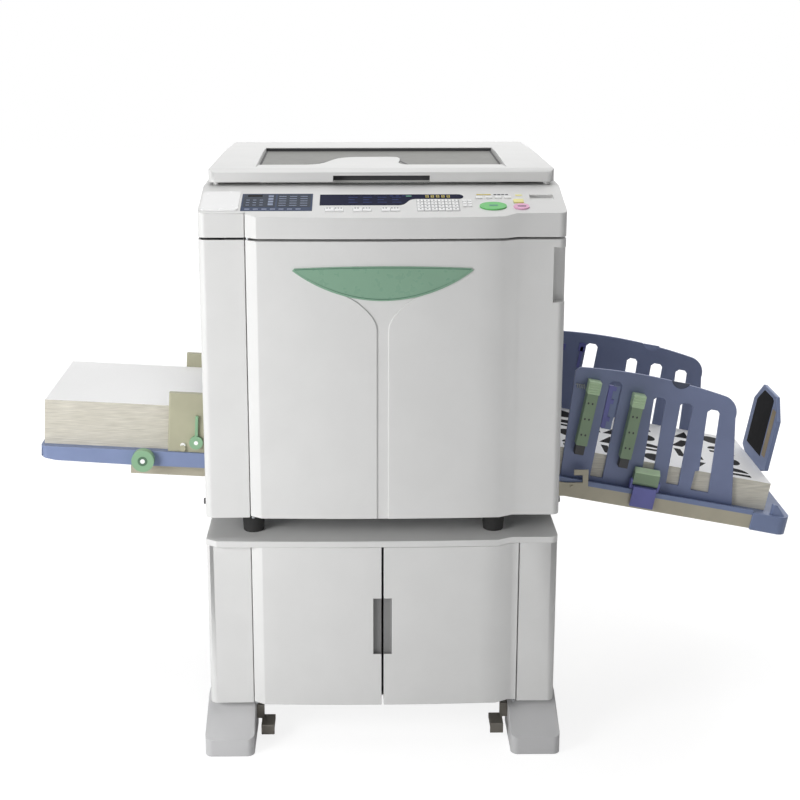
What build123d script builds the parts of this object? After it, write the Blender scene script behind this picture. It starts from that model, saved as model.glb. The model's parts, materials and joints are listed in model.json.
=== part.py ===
from build123d import *
from itertools import product
from math import cos, hypot, radians, sin
import os

# Digital duplicator on its stand. Lengths are millimetres. X runs to the right seen from the front,
# Z is the height above the floor. While the pieces are made, X is measured from the middle of the
# body and Y from the front plane of its side strips; at the end all pieces move together so that
# the middle of the whole outline stands over the origin.

# Body and stand
BODY_WIDTH = 650.0
BODY_DEPTH = 620.0
STAND_SETBACK = 20.0
WALL = 3.0
CORNER = 14.0
STAND_BOTTOM = 80.0
STAND_HEIGHT = 332.0
TOP_PLATE = 12.0
RUBBER_FOOT_HEIGHT = 40.0
RUBBER_FOOT_RADIUS = 21.5
RUBBER_LEFT = 85.0
RUBBER_RIGHT = 117.0
RUBBER_FRONT = 46.0
RUBBER_REAR = 40.0
COVER_HEIGHT = 518.0
CONSOLE_GAP = 4.0
BASE_PAN = 10.0

# Bulged fronts of the covers and doors
STEP = 2.0
BEVEL_WIDTH = 20.0
ARCH_EDGE = 15.0
ARCH_MIDDLE = 20.0
DIP_WIDTH = 25.0
DIP_FLAT = 16.0
PANEL_BACK = 22.0
LEFT_STRIP = 82.0
HINGE_GAP = 1.6
EAR_HEIGHT = 20.0
PIN_RADIUS = 1.6
PLATE_RADIUS = 3.0
LEFT_PIN_DEPTH = 1.0
RIGHT_PIN_DEPTH = 2.5
EAR_RADIUS = 4.5
RUN_FIT = 0.1
CLEAR = 0.3
PIN_PLATE = 3.5

# Cabinet doors
DOOR_SEAM = 4.0
DOOR_RIGHT_STRIP = 71.0
RECESS_HALF = 17.0
RECESS_UP = 108.0
RECESS_HEIGHT = 111.0
RECESS_DEPTH = 8.0
RECESS_CORNER = 5.0

# Emblem plate and the groove below it
EMBLEM_HALF = 159.0
EMBLEM_DOWN = 48.0
EMBLEM_RISE = 4.0
EMBLEM_DROP = 58.0
EMBLEM_TIP = 4.0
EMBLEM_THICK = 2.0
GROOVE_WIDTH = 20.0
GROOVE_DEPTH = 2.2
FUNNEL_HALF = 82.0
FUNNEL_DROP = 56.0
FUNNEL_RISE = 14.0
FUNNEL_TOP = 20.0
FUNNEL_BEND = ((20.0, -28.0), (44.0, -4.0))
GRIP_WIDTH = 22.0
GRIP_DOWN = 15.0
GRIP_HEIGHT = 99.0
GRIP_DEPTH = 18.0

# Console, scanner and lid
CONSOLE_FRONT = 43.0
SLOPE_DEPTH = 120.0
SLOPE_RISE = 31.0
CONSOLE_WALL = 4.0
SLOPE_WALL = 13.0
GLASS_HALF = 218.0
GLASS_DEPTH = 310.0
GLASS_THICK = 3.0
GLASS_LEDGE = 6.0
LID_GAP = 6.0
LID_THICK = 24.0
LID_SIDE = 8.0
LID_TAPER = 10.0
LID_FRONT = 122.0
LID_SETBACK = 3.0
LID_FLOOR = 12.0
LID_REAR_SLOPE = 227.0
LID_REAR_DROP = 8.0
LID_HOLLOW = 8.0
LID_SIDE_RIM = 85.0
TRAY_START = 19.0
TRAY_RAMP = 105.0
TRAY_END = 356.0
RAMP_DROP = 8.0
HUMP_DEPTH = 117.0
HUMP_LEFT = -157.0
HUMP_RIGHT = 58.0
FLOOR_PLATE = 1.5
LID_RIM = 30.0
HANDLE_HALF = 88.0
HANDLE_HEIGHT = 11.0
HANDLE_DEPTH = 22.0
BUMPER_INSET = 14.0
BUMPER_RADIUS = 5.0
PAD_OVERLAP = 6.0
PAD_PAST = 20.0
PAD_CORNER = 6.0
LID_AXIS_BACK = 6.0
LID_AXIS_UP = 5.5
LID_BRACKET_X = 200.0
LID_BRACKET_WIDTH = 36.0
LID_BRACKET_RADIUS = 6.0
LID_PIN_RADIUS = 3.0
CARRIAGE_INSET = 28.0
CARRIAGE_WIDTH = 40.0
CARRIAGE_DOWN = 10.0
CARRIAGE_UP = 16.0
CARRIAGE_END = 8.0
LAMP_SLOT_HALF = 6.0
LAMP_SLOT_DEPTH = 8.0
RAIL_INSET = 20.0
GLASS_BACK = 22.0
RAIL_RADIUS = 4.0
RAIL_UP = 36.0

# Mains inlet
INLET_X = 200.0
INLET_UP = 48.0
INLET_HALF = 14.0
INLET_HEIGHT = 20.0
INLET_DEPTH = 30.0
SOCKET_DEPTH = 16.0
INLET_PIN = 11.0
PIN_PITCH = 6.0

# Control panel
PLATE_THICK = 1.8
PLATE_SINK = 1.5
KEY_SINK = 6.0
KEY_BELOW = 4.0
KEY_ABOVE = 2.5
KEYPAD_INSET = 263.0
KEYPAD_LOW = 8.5
KEY_PITCH = 12.4
KEY_LENGTH = 10.4
KEY_HEIGHT = 9.0
KEYPAD_COLUMNS = 6
KEYPAD_ROWS = 4
MODE_INSET = 182.0
MODE_LOW = 26.0
MODE_PITCH = 9.0
MODE_STEP = 10.5
MODE_KEY = 7.0
PAIR_LENGTH = 32.0
PAIR_SEAM = 1.0
PAIR_INSET = 10.0
PAIR_LOW = 6.0
PAIR_HIGH = 19.0
RIGHT_KEY_INSET = 157.0
RIGHT_KEY_PITCH = 17.0
RIGHT_KEY_LENGTH = 12.0
RIGHT_KEY_LOW = 62.0
RIGHT_KEYS = 4
DISPLAY_LEFT = -111.0
DISPLAY_LOW = 34.0
DISPLAY_STEP = 62.0
DISPLAY_HIGH = 82.0
DISPLAY_BEND = 35.0
DISPLAY_PAST = 84.0
LABEL_GAP = 13.0
BLANK_GAP = 4.0

# Feet and casters
FOOT_WIDTH = 92.0
FOOT_OVERHANG = 7.0
FOOT_FRONT = 56.0
FOOT_TOE = 34.0
FOOT_SLOPE = 100.0
FOOT_REAR = 67.0
CASTER_INSET = 70.0
CASTER_FRONT = 150.0
CASTER_REAR_INSET = 80.0
WHEEL_RADIUS = 30.0
WHEEL_WIDTH = 24.0
CASTER_TRAIL = 18.0
AXLE_RADIUS = 4.0
FORK_PLATE = 3.0
FORK_CAP = 6.0
FORK_CAP_RADIUS = 26.0
FORK_FRONT = 12.0
FORK_BACK = 22.0
FORK_TIP = 7.0
WHEEL_CLEAR = 0.5
STEM_RADIUS = 5.0
PEDAL_Y = 30.0
PEDAL_Z = 55.0
PEDAL_PIN = 3.0
PEDAL_ARM = 14.0
PEDAL_BOSS = 8.0
PEDAL_REACH = 35.0
PEDAL_LAP = 10.0
PEDAL_PAD_FRONT = 30.0
PEDAL_PAD_THICK = 10.0
PEDAL_DROP = 20.0
PEDAL_TOE = 4.0

# Paper and the print section
PAPER_WIDTH = 279.4
PAPER_LENGTH = 431.8
PAPER_OFFSET = 3.0
FEED_HEIGHT = 88.0
PRINTED_HEIGHT = 56.0
FRAME_PLATE = 3.0
FRAME_FRONT = 92.0
FRAME_REAR_INSET = 83.0
FRAME_LEFT_INSET = 40.0
FRAME_RIGHT_INSET = 25.0
DRUM_RADIUS = 90.0
DRUM_LENGTH = 300.0
DRUM_WALL = 4.0
DRUM_END = 6.0
DRUM_HOLE = 20.0
DRUM_HOLE_OUT = 50.0
DRUM_SHAFT = 10.0
DRUM_UP = 278.0
ROLLER_RADIUS = 40.0
ROLLER_SHAFT = 8.0
NIP_GAP = 1.0
PICKUP_INSET = 80.0
PICKUP_RADIUS = 18.0
PICKUP_SHAFT = 5.0
PICKUP_LENGTH = 100.0
SHAFT_END = 10.0

# Feed tray, in a frame that tilts with it: x from its left end, z up from its top face
FEED_OUT = 331.0
FEED_UP = 88.0
FEED_TILT = 3.2
FEED_ENTRY = 99.0
FEED_HALF = 157.0
FEED_SKIRT = 30.0
FEED_WALL = 4.0
FEED_NOSE = 8.0
FEED_NOSE_LENGTH = 30.0
FEED_PAPER_PAST = 6.8
FRAME_START = 170.0
FRAME_SHORT = 30.0
FEED_FRAME_HALF = 125.0
FEED_FRAME_DROP = 44.0
FEED_APRON_DROP = 58.0
FEED_APRON_GAP = 6.0
LIFT_ROD_INSET = 25.0
LIFT_ROD_OUT = 196.0
LIFT_ROD_RADIUS = 5.0
LIFT_ROD_LENGTH = 158.0
CROSSBAR_UP = 26.0
CROSSBAR_HEIGHT = 13.0
CROSSBAR_HALF = 10.0
CROSSBAR_PAST = 6.0
GUIDE_THICK = 12.0
GUIDE_LENGTH = 156.0
GUIDE_HEIGHT = 117.0
GUIDE_CORNER = 4.0
STUD_ALONG = 26.0
STUD_OUT = 5.0
STUD_UP = 8.0
STUD_RADIUS = 6.0
PAPER_GAP = 0.4
GUIDE_TRAVEL = 12.0
DIAL_X = 199.0
DIAL_DOWN = 16.0
DIAL_RADIUS = 21.5
DIAL_THICK = 16.0
DIAL_PIN = 5.0
DIAL_PIN_LENGTH = 5.0
DIAL_RING_INNER = 5.0
DIAL_RING_OUTER = 9.0
DIAL_RING_DEPTH = 3.0
LOCK_ALONG = 55.0
LOCK_UP = 21.7
LOCK_RADIUS = 13.0
LOCK_THICK = 8.0
LOCK_PIN = 3.0
LOCK_ARM = 53.0
LOCK_ARM_HALF = 3.0
LOCK_PIN_LENGTH = 8.0
FEED_OPENING_UP = 13.0
FEED_OPENING_HEIGHT = 190.0

# Receiving tray, in a frame that tilts with it: x from the body, z up from its top face
OUT_GAP = 5.0
OUT_UP = 22.0
OUT_TILT = 10.7
OUT_LENGTH = 404.0
OUT_HALF = 165.0
OUT_PLATE = 6.0
OUT_LIP = 4.0
OUT_SKIRT = 34.0
CAP_LENGTH = 77.0
CAP_RADIUS = 25.0
OUT_PAPER_START = 1.0
OUT_GUIDE_THICK = 6.0
OUT_GUIDE_FOOT = 3.0
OUT_GUIDE_ARCH = 228.0
OUT_GUIDE_BASE = (20.0, 365.0)
OUT_GUIDE_SHOULDER = (330.0, 176.0)
OUT_GUIDE_BEND = (322.0, 203.0)
OUT_GUIDE_REAR = (300.0, 215.0)
OUT_GUIDE_CREST = 150.0
OUT_GUIDE_NOSE = ((12.0, 221.0), (4.0, 212.0))
CUP_X = 210.0
CUP_UP = 6.0
CUP_RADIUS = 20.0
SLOT_WIDTH = 25.0
OUT_SLOTS = (((90, 9), (86, 206), SLOT_WIDTH), ((187, 43), (177, 190), SLOT_WIDTH - 2),
             ((240, 21), (231, 188), SLOT_WIDTH), ((302, 17), (286, 184), SLOT_WIDTH))
SLOT_STEP = ((278, 17), (296, 17), (296, 62), (278, 56))
STOP_THICK = 8.0
STOP_HALF = 85.0
STOP_TOP = 208.0
STOP_BOTTOM = 44.0
STOP_CHAMFER = 40.0
STOP_STEM_HALF = 30.0
STOP_BASE_LENGTH = 26.0
STOP_BASE_THICK = 6.0
STOP_SHOULDER = 20.0
GUSSET_HEIGHT = 60.0
GUSSET_THICK = 5.0
ARRANGER_WIDTH = 24.0
ARRANGER_DEPTH = 20.0
ARRANGER_CAP = 25.0
ARRANGER_BODY = 105.0
ARRANGER_FOOT = 20.0
ARRANGER_PEG = 4.0
ARRANGERS = ((43.0, 53.0), (133.0, 42.0))
CLAMP_X = 183.0
CLAMP_WIDTH = 50.0
CLAMP_AXIS_UP = 19.0
CLAMP_AXIS_OUT = 12.0
CLAMP_HUB = 6.4
CLAMP_LEVER_TOP = 48.0
BRACKET_THICK = 5.6
BRACKET_TOP = 12.0
BRACKET_DROP = 28.0
CLAMP_EAR = 6.0
CLAMP_EAR_THICK = 4.0
CLAMP_FOOT = 20.0
CLAMP_PIN = 2.0
OUT_OPENING_UP = 48.0
OUT_OPENING_HEIGHT = 200.0
HOOK_OUT = 76.0
HOOK_DOWN = 15.0
HOOK_HEIGHT = 53.0
HOOK_PIN_OUT = 45.0
HOOK_PIN_UP = 18.0
HOOK_PIN_RADIUS = 4.0
HOOK_CORNER = 15.0
HOOK_ARM = 11.0
HOOK_MOUTH = 26.0
HOOK_TIP = 28.0
HOOK_BACK = 42.0
HOOK_FALL = 22.0

# Sizes worked out from those above
HALF = BODY_WIDTH / 2
STAND_DEPTH = BODY_DEPTH - STAND_SETBACK
STAND_TOP = STAND_BOTTOM + STAND_HEIGHT
DOOR_TOP = STAND_TOP - TOP_PLATE
BODY_BOTTOM = STAND_TOP + RUBBER_FOOT_HEIGHT
COVER_TOP = BODY_BOTTOM + COVER_HEIGHT
CONSOLE_BOTTOM = COVER_TOP + CONSOLE_GAP
SLOPE_LOW = CONSOLE_BOTTOM + CONSOLE_FRONT
PLATEN_TOP = SLOPE_LOW + SLOPE_RISE
SLOPE_LENGTH = hypot(SLOPE_DEPTH, SLOPE_RISE)
LID_BOTTOM = PLATEN_TOP + LID_GAP
LID_TOP = LID_BOTTOM + LID_THICK
STRIP_EDGE = -HALF + LEFT_STRIP
COVER_LEFT = STRIP_EDGE + HINGE_GAP
RIGHT_STRIP_EDGE = HALF - DOOR_RIGHT_STRIP
LEFT_AXIS = (COVER_LEFT + EAR_RADIUS, LEFT_PIN_DEPTH - STEP)
RIGHT_AXIS = (RIGHT_STRIP_EDGE - HINGE_GAP - EAR_RADIUS, RIGHT_PIN_DEPTH - STEP)
DIP_END = RIGHT_STRIP_EDGE - DIP_FLAT
DIP_START = DIP_END - DIP_WIDTH
RECESS_BOTTOM = STAND_BOTTOM + RECESS_UP
RECESS_TOP = RECESS_BOTTOM + RECESS_HEIGHT
EMBLEM_TOP = COVER_TOP - EMBLEM_DOWN
EMBLEM_ARCH = EMBLEM_TOP + EMBLEM_RISE
EMBLEM_BOTTOM = EMBLEM_TOP - EMBLEM_DROP
GRIP_LEFT = HALF - GRIP_WIDTH
GRIP_TOP = COVER_TOP - GRIP_DOWN
GRIP_BOTTOM = GRIP_TOP - GRIP_HEIGHT
LID_HALF = HALF - LID_SIDE
LID_REAR = BODY_DEPTH - LID_SETBACK
LID_CREASE = LID_REAR - LID_REAR_SLOPE
TRAY_HALF = LID_HALF - LID_SIDE_RIM
CARRIAGE_REST = CARRIAGE_INSET - GLASS_HALF
FOOT_OUTER = HALF + FOOT_OVERHANG
FOOT_INNER = FOOT_OUTER - FOOT_WIDTH
CASTER_X = FOOT_OUTER - CASTER_INSET
CASTER_REAR = STAND_DEPTH - CASTER_REAR_INSET
FRAME_REAR = BODY_DEPTH - FRAME_REAR_INSET
FRAME_LEFT = FRAME_LEFT_INSET - HALF
FRAME_RIGHT = HALF - FRAME_RIGHT_INSET
PICKUP_X = PICKUP_INSET - HALF
PAPER_MIDDLE = BODY_DEPTH / 2 + PAPER_OFFSET
DRUM_Z = BODY_BOTTOM + DRUM_UP
FLOOR_TOP = BODY_BOTTOM + BASE_PAN
PAPER_HALF = PAPER_WIDTH / 2
ROLLER_Z = DRUM_Z - DRUM_RADIUS - NIP_GAP - ROLLER_RADIUS
GUIDE_FACE = PAPER_HALF + PAPER_GAP
FEED_REACH = HALF + FEED_OUT
FEED_TOP = BODY_BOTTOM + FEED_UP
FEED_LENGTH = FEED_OUT + FEED_ENTRY
FEED_PAPER_START = FEED_LENGTH + FEED_PAPER_PAST - PAPER_LENGTH
FRAME_END = FEED_LENGTH - FRAME_SHORT
LIFT_ROD_X = LIFT_ROD_INSET - HALF
LIFT_ROD_TOP = FLOOR_TOP + LIFT_ROD_LENGTH
CROSSBAR_TOP = FLOOR_TOP + CROSSBAR_UP
GUIDE_START = FRAME_END - GUIDE_LENGTH
LOCK_X = GUIDE_START + LOCK_ALONG
FEED_OPENING_BOTTOM = BODY_BOTTOM + FEED_OPENING_UP
FEED_OPENING_TOP = FEED_OPENING_BOTTOM + FEED_OPENING_HEIGHT
OUT_START = HALF + OUT_GAP
OUT_TOP = BODY_BOTTOM + OUT_UP
OUT_OPENING_BOTTOM = BODY_BOTTOM + OUT_OPENING_UP
OUT_OPENING_TOP = OUT_OPENING_BOTTOM + OUT_OPENING_HEIGHT
HOOK_REACH = HALF + HOOK_OUT
HOOK_LOW = BODY_BOTTOM - HOOK_DOWN
HOOK_HIGH = HOOK_LOW + HOOK_HEIGHT
HOOK_PIN_X = HALF + HOOK_PIN_OUT
HOOK_PIN_Z = HOOK_LOW + HOOK_PIN_UP
FEED_GUIDE_BACK = GUIDE_FACE + GUIDE_THICK
OUT_GUIDE_BACK = GUIDE_FACE + OUT_GUIDE_THICK
LABEL_X = (75.0 - HALF, DISPLAY_LEFT - LABEL_GAP)
LABEL_V = (10.0, 86.0)
BLANK_X = (5.0 - HALF, LABEL_X[0] - BLANK_GAP)
KEYPAD_LEFT = HALF - KEYPAD_INSET
BLANK_V = (11.0, 92.0)
START_KEY = ((HALF - 153, HALF - 105), 11, 43)
STOP_KEY = ((HALF - 93, HALF - 65), 13, 36)
RESET_KEY = ((HALF - 91, HALF - 73), 42, 56)
GRIP_SLOPE_X = (HALF - 60, HALF - 17)
PANEL_SLOPE = Plane(origin=(0, 0, SLOPE_LOW), x_dir=(1, 0, 0), z_dir=(0, -SLOPE_RISE, SLOPE_DEPTH)).location
FEED_PLACE = Pos(-FEED_REACH, PAPER_MIDDLE, FEED_TOP) * Rot(0, FEED_TILT, 0)
OUT_PLACE = Pos(OUT_START, PAPER_MIDDLE, OUT_TOP) * Rot(0, OUT_TILT, 0)
WIDE = 2000.0


def block(x, y, z):
    """A box between the given (low, high) limits."""
    middle = Pos((x[0] + x[1]) / 2, (y[0] + y[1]) / 2, (z[0] + z[1]) / 2)
    return middle * Box(x[1] - x[0], y[1] - y[0], z[1] - z[0])


def rounded_block(x, y, z, radius):
    """A box with rounded upright edges."""
    plan = extrude(RectangleRounded(x[1] - x[0], y[1] - y[0], radius), z[1] - z[0])
    return Pos((x[0] + x[1]) / 2, (y[0] + y[1]) / 2, z[0]) * plan


def prism_along_x(points, x):
    """An outline of (y, z) points, drawn out along X."""
    face = make_face(Polyline(*[(x[0], py, pz) for py, pz in points], close=True))
    return extrude(face, x[1] - x[0], dir=(1, 0, 0))


def prism_along_y(points, y):
    """An outline of (x, z) points, drawn out along Y."""
    face = make_face(Polyline(*[(px, y[0], pz) for px, pz in points], close=True))
    return extrude(face, y[1] - y[0], dir=(0, 1, 0))


def prism_along_z(points, z):
    """An outline of (x, y) points, drawn out along Z."""
    face = make_face(Polyline(*[(px, py, z[0]) for px, py in points], close=True))
    return extrude(face, z[1] - z[0], dir=(0, 0, 1))


def rod_x(x, y, z, radius):
    return Pos((x[0] + x[1]) / 2, y, z) * Rot(0, 90, 0) * Cylinder(radius, x[1] - x[0])


def rod_y(x, y, z, radius):
    return Pos(x, (y[0] + y[1]) / 2, z) * Rot(90, 0, 0) * Cylinder(radius, y[1] - y[0])


def rod_z(x, y, z, radius):
    return Pos(x, y, (z[0] + z[1]) / 2) * Cylinder(radius, z[1] - z[0])


def mirrored(x):
    """The same span on the other side of the middle plane."""
    return (-x[1], -x[0])


def bulged_front(left, right, back, z, corner=0.0):
    """Slab with the arched front: bevel at the left, dip and flat strip at the right."""
    bevel_end = (left + BEVEL_WIDTH, -ARCH_EDGE)
    dip = (DIP_START, -ARCH_EDGE)
    lines = Line((left, back), (left, -STEP)) + Line((left, -STEP), bevel_end)
    lines += ThreePointArc(bevel_end, ((bevel_end[0] + dip[0]) / 2, -ARCH_MIDDLE), dip)
    lines += Line(dip, (DIP_END, -STEP)) + Line((DIP_END, -STEP), (right - corner, -STEP))
    if corner:
        bend = corner * (1 - sin(radians(45)))
        lines += ThreePointArc((right - corner, -STEP), (right - bend, bend - STEP), (right, corner - STEP))
    lines += Line((right, corner - STEP), (right, back)) + Line((right, back), (left, back))
    return Pos(0, 0, z[0]) * extrude(make_face(lines), z[1] - z[0])


def panel_shell(solid, x, z, kept=None):
    """A front panel cut to its limits and hollowed from behind, except in the kept part."""
    inner = block((x[0] + WALL, x[1] - WALL), (-WIDE, WIDE), (z[0] + WALL, z[1] - WALL))
    hollow = Pos(0, WALL, 0) * solid & inner
    if kept is not None:
        hollow -= kept
    return (solid & block(x, (-WIDE, WIDE), z)) - hollow


def with_hinge(panel, outline, axis, low, high):
    """Panel with bosses inside its outline at both ends of the hinge edge, bored for the pins."""
    for z in ((low, low + EAR_HEIGHT), (high - EAR_HEIGHT, high)):
        panel += rod_z(*axis, z, EAR_RADIUS) & outline
        panel -= rod_z(*axis, (z[0] - 1, z[1] + 1), PIN_RADIUS + RUN_FIT)
    return panel


def make_front_cover():
    span = (COVER_LEFT, HALF)
    z = (BODY_BOTTOM + PIN_PLATE + CLEAR, COVER_TOP)
    solid = bulged_front(COVER_LEFT, HALF, PANEL_BACK, z, CORNER)
    grip_cup = block((GRIP_LEFT - WALL, HALF), (-WIDE, WIDE), (GRIP_BOTTOM - WALL, GRIP_TOP + WALL))
    cover = panel_shell(solid, span, z, grip_cup)
    cover -= block((GRIP_LEFT, HALF + 1), (-ARCH_MIDDLE, GRIP_DEPTH - STEP), (GRIP_BOTTOM, GRIP_TOP))
    groove = Pos(0, GROOVE_DEPTH - ARCH_MIDDLE, 0) * Rot(90, 0, 0) * extrude(groove_outline(), ARCH_MIDDLE)
    return with_hinge(cover - groove, solid, LEFT_AXIS, *z)


def groove_outline():
    """Upright groove that opens in a funnel with curved sides, whose top lies behind the emblem."""
    half = GROOVE_WIDTH / 2
    foot = BODY_BOTTOM - 1
    throat = EMBLEM_BOTTOM - FUNNEL_DROP
    top = EMBLEM_BOTTOM + FUNNEL_TOP
    bend = [(x, EMBLEM_BOTTOM + rise) for x, rise in FUNNEL_BEND]
    curve = [(half, throat)] + bend + [(FUNNEL_HALF, EMBLEM_BOTTOM + FUNNEL_RISE)]
    other = [(-x, z) for x, z in curve]
    lines = Line((-half, foot), (half, foot)) + Line((half, foot), curve[0])
    lines += Spline(*curve, tangents=((0, 1), (1, 0.3)))
    lines += Line(curve[-1], (FUNNEL_HALF, top)) + Line((FUNNEL_HALF, top), (-FUNNEL_HALF, top))
    lines += Line((-FUNNEL_HALF, top), other[-1])
    lines += Spline(*other, tangents=((0, 1), (-1, 0.3)))
    lines += Line(other[0], (-half, foot))
    return make_face(lines)


def make_emblem():
    """Lens shaped plate that lies on the arched front, below its flat top edge."""
    left_tip = (-EMBLEM_HALF, EMBLEM_TOP - EMBLEM_TIP)
    right_tip = (EMBLEM_HALF, EMBLEM_TOP - EMBLEM_TIP)
    left_top = (EMBLEM_TIP - EMBLEM_HALF, EMBLEM_TOP)
    right_top = (EMBLEM_HALF - EMBLEM_TIP, EMBLEM_TOP)
    lens = Line(left_tip, left_top) + ThreePointArc(left_top, (0, EMBLEM_ARCH), right_top)
    lens += Line(right_top, right_tip) + ThreePointArc(right_tip, (0, EMBLEM_BOTTOM), left_tip)
    prism = Pos(0, WIDE / 2, 0) * Rot(90, 0, 0) * extrude(make_face(lens), WIDE)
    z = (BODY_BOTTOM, COVER_TOP)
    solid = bulged_front(COVER_LEFT, HALF, PANEL_BACK, z, CORNER)
    skin = (Pos(0, -EMBLEM_THICK, 0) * solid) - solid
    front_half = block((-WIDE, WIDE), (-WIDE, 0), (0, WIDE))
    return prism & skin & front_half


def make_doors():
    z = (STAND_BOTTOM + PIN_PLATE + CLEAR, DOOR_TOP - CLEAR)
    edge = RIGHT_STRIP_EDGE - HINGE_GAP
    solid = bulged_front(COVER_LEFT, edge, PANEL_BACK, z)
    recess_z = (RECESS_BOTTOM, RECESS_TOP)
    cup_half = RECESS_HALF + WALL
    cup = block((-cup_half, cup_half), (-WIDE, WIDE), (RECESS_BOTTOM - WALL, RECESS_TOP + WALL))
    recess_y = (-2 * ARCH_MIDDLE, RECESS_DEPTH - ARCH_MIDDLE)
    recess = rounded_block((-RECESS_HALF, RECESS_HALF), recess_y, recess_z, RECESS_CORNER)
    doors = []
    for span, axis in (((COVER_LEFT, -DOOR_SEAM / 2), LEFT_AXIS), ((DOOR_SEAM / 2, edge), RIGHT_AXIS)):
        doors.append(with_hinge(panel_shell(solid, span, z, cup) - recess, solid, axis, *z))
    return doors


def pin_plate(axis, depth, z):
    """Plate that reaches forward to a hinge pin, round about it."""
    plate = block((axis[0] - PLATE_RADIUS, axis[0] + PLATE_RADIUS), (axis[1], depth), z)
    return plate + rod_z(*axis, z, PLATE_RADIUS)


def pin_pair(axis, low, high, top_plate):
    """Lower pin on its plate and upper pin, which hangs from the part above or from a plate."""
    lower = pin_plate(axis, PANEL_BACK + STEP, (low, low + PIN_PLATE))
    lower += rod_z(*axis, (low, low + EAR_HEIGHT), PIN_RADIUS)
    upper = rod_z(*axis, (high - EAR_HEIGHT, high), PIN_RADIUS)
    if top_plate:
        upper += pin_plate(axis, PANEL_BACK, (high - top_plate, high))
    return [lower, upper]


def make_hinge_pins():
    pins = pin_pair(LEFT_AXIS, BODY_BOTTOM, CONSOLE_BOTTOM, CONSOLE_GAP - 1)
    pins += pin_pair(LEFT_AXIS, STAND_BOTTOM, DOOR_TOP, 0)
    pins += pin_pair(RIGHT_AXIS, STAND_BOTTOM, DOOR_TOP, 0)
    reach = LID_BRACKET_WIDTH / 2 + 7
    for side in (-1, 1):
        x = (side * LID_BRACKET_X - reach, side * LID_BRACKET_X + reach)
        pins.append(rod_x(x, LID_REAR - LID_AXIS_BACK, LID_BOTTOM + LID_AXIS_UP, LID_PIN_RADIUS))
    return pins


def make_cabinet():
    z = (STAND_BOTTOM, DOOR_TOP)
    outer = rounded_block((-HALF, HALF), (0, STAND_DEPTH + 2 * CORNER), z, CORNER)
    outer &= block((-HALF, HALF), (0, STAND_DEPTH), z)
    inner_z = (STAND_BOTTOM + WALL, DOOR_TOP - WALL)
    room = rounded_block((WALL - HALF, HALF - WALL), (WALL, STAND_DEPTH + 2 * CORNER), inner_z, CORNER - WALL)
    shell = outer - (room & block((-HALF, HALF), (0, STAND_DEPTH - WALL), inner_z))
    opening = (STRIP_EDGE, RIGHT_STRIP_EDGE)
    shell -= block(opening, (-1, PANEL_BACK + STEP), (STAND_BOTTOM - 1, DOOR_TOP + 1))
    shell += block((opening[0] - WALL, opening[0]), (0, PANEL_BACK + STEP), z)
    shell += block((opening[1], opening[1] + WALL), (0, PANEL_BACK + STEP), z)
    shell += bulged_front(-HALF, HALF, STAND_DEPTH, (DOOR_TOP, STAND_TOP), CORNER)
    bore_z = (STAND_BOTTOM - 1, STAND_BOTTOM + WALL + 1)
    for side in (-1, 1):
        for y in (CASTER_FRONT, CASTER_REAR):
            shell -= rod_z(side * CASTER_X, y, bore_z, STEM_RADIUS + RUN_FIT)
    return shell


def make_stabilisers():
    """Sloping shoes in front of the stand, bored at the inside for the brake pedals."""
    outline = [(-FOOT_FRONT, 0), (-FOOT_FRONT, FOOT_TOE), (FOOT_SLOPE - FOOT_FRONT, STAND_BOTTOM)]
    outline += [(FOOT_REAR, STAND_BOTTOM), (FOOT_REAR, 0)]
    plan_y = (-FOOT_FRONT, FOOT_REAR + 2 * CORNER)
    feet = []
    for side in (-1, 1):
        x = (FOOT_INNER, FOOT_OUTER) if side > 0 else mirrored((FOOT_INNER, FOOT_OUTER))
        foot = prism_along_x(outline, x) & rounded_block(x, plan_y, (-1, STAND_BOTTOM + 1), CORNER)
        reach = (FOOT_INNER - 1, FOOT_INNER + EAR_HEIGHT)
        bore_x = reach if side > 0 else mirrored(reach)
        feet.append(foot - rod_x(bore_x, PEDAL_Y, PEDAL_Z, PEDAL_PIN + RUN_FIT))
    return feet


def make_pedal(side):
    """Brake pedal on a pin in the shoe's inner face."""
    def across(low, high):
        return (low, high) if side > 0 else mirrored((low, high))
    arm_x = across(FOOT_INNER - PEDAL_ARM, FOOT_INNER - CLEAR)
    pad_x = across(FOOT_INNER - PEDAL_REACH, FOOT_INNER - PEDAL_LAP)
    pad_front = PEDAL_Y - PEDAL_PAD_FRONT
    pad_top = PEDAL_Z - PEDAL_DROP
    rear = PEDAL_Y + PEDAL_BOSS
    arm = block(arm_x, (PEDAL_Y - PEDAL_BOSS, rear), (pad_top, PEDAL_Z + PEDAL_BOSS))
    pad = block(pad_x, (pad_front, rear), (pad_top - PEDAL_PAD_THICK, pad_top))
    toe = block(pad_x, (pad_front - PEDAL_TOE, pad_front), (pad_top - 2 * PEDAL_PAD_THICK, pad_top))
    pin = rod_x(across(FOOT_INNER - CLEAR, FOOT_INNER + EAR_HEIGHT - CLEAR), PEDAL_Y, PEDAL_Z, PEDAL_PIN)
    return arm + pad + toe + pin


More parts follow.
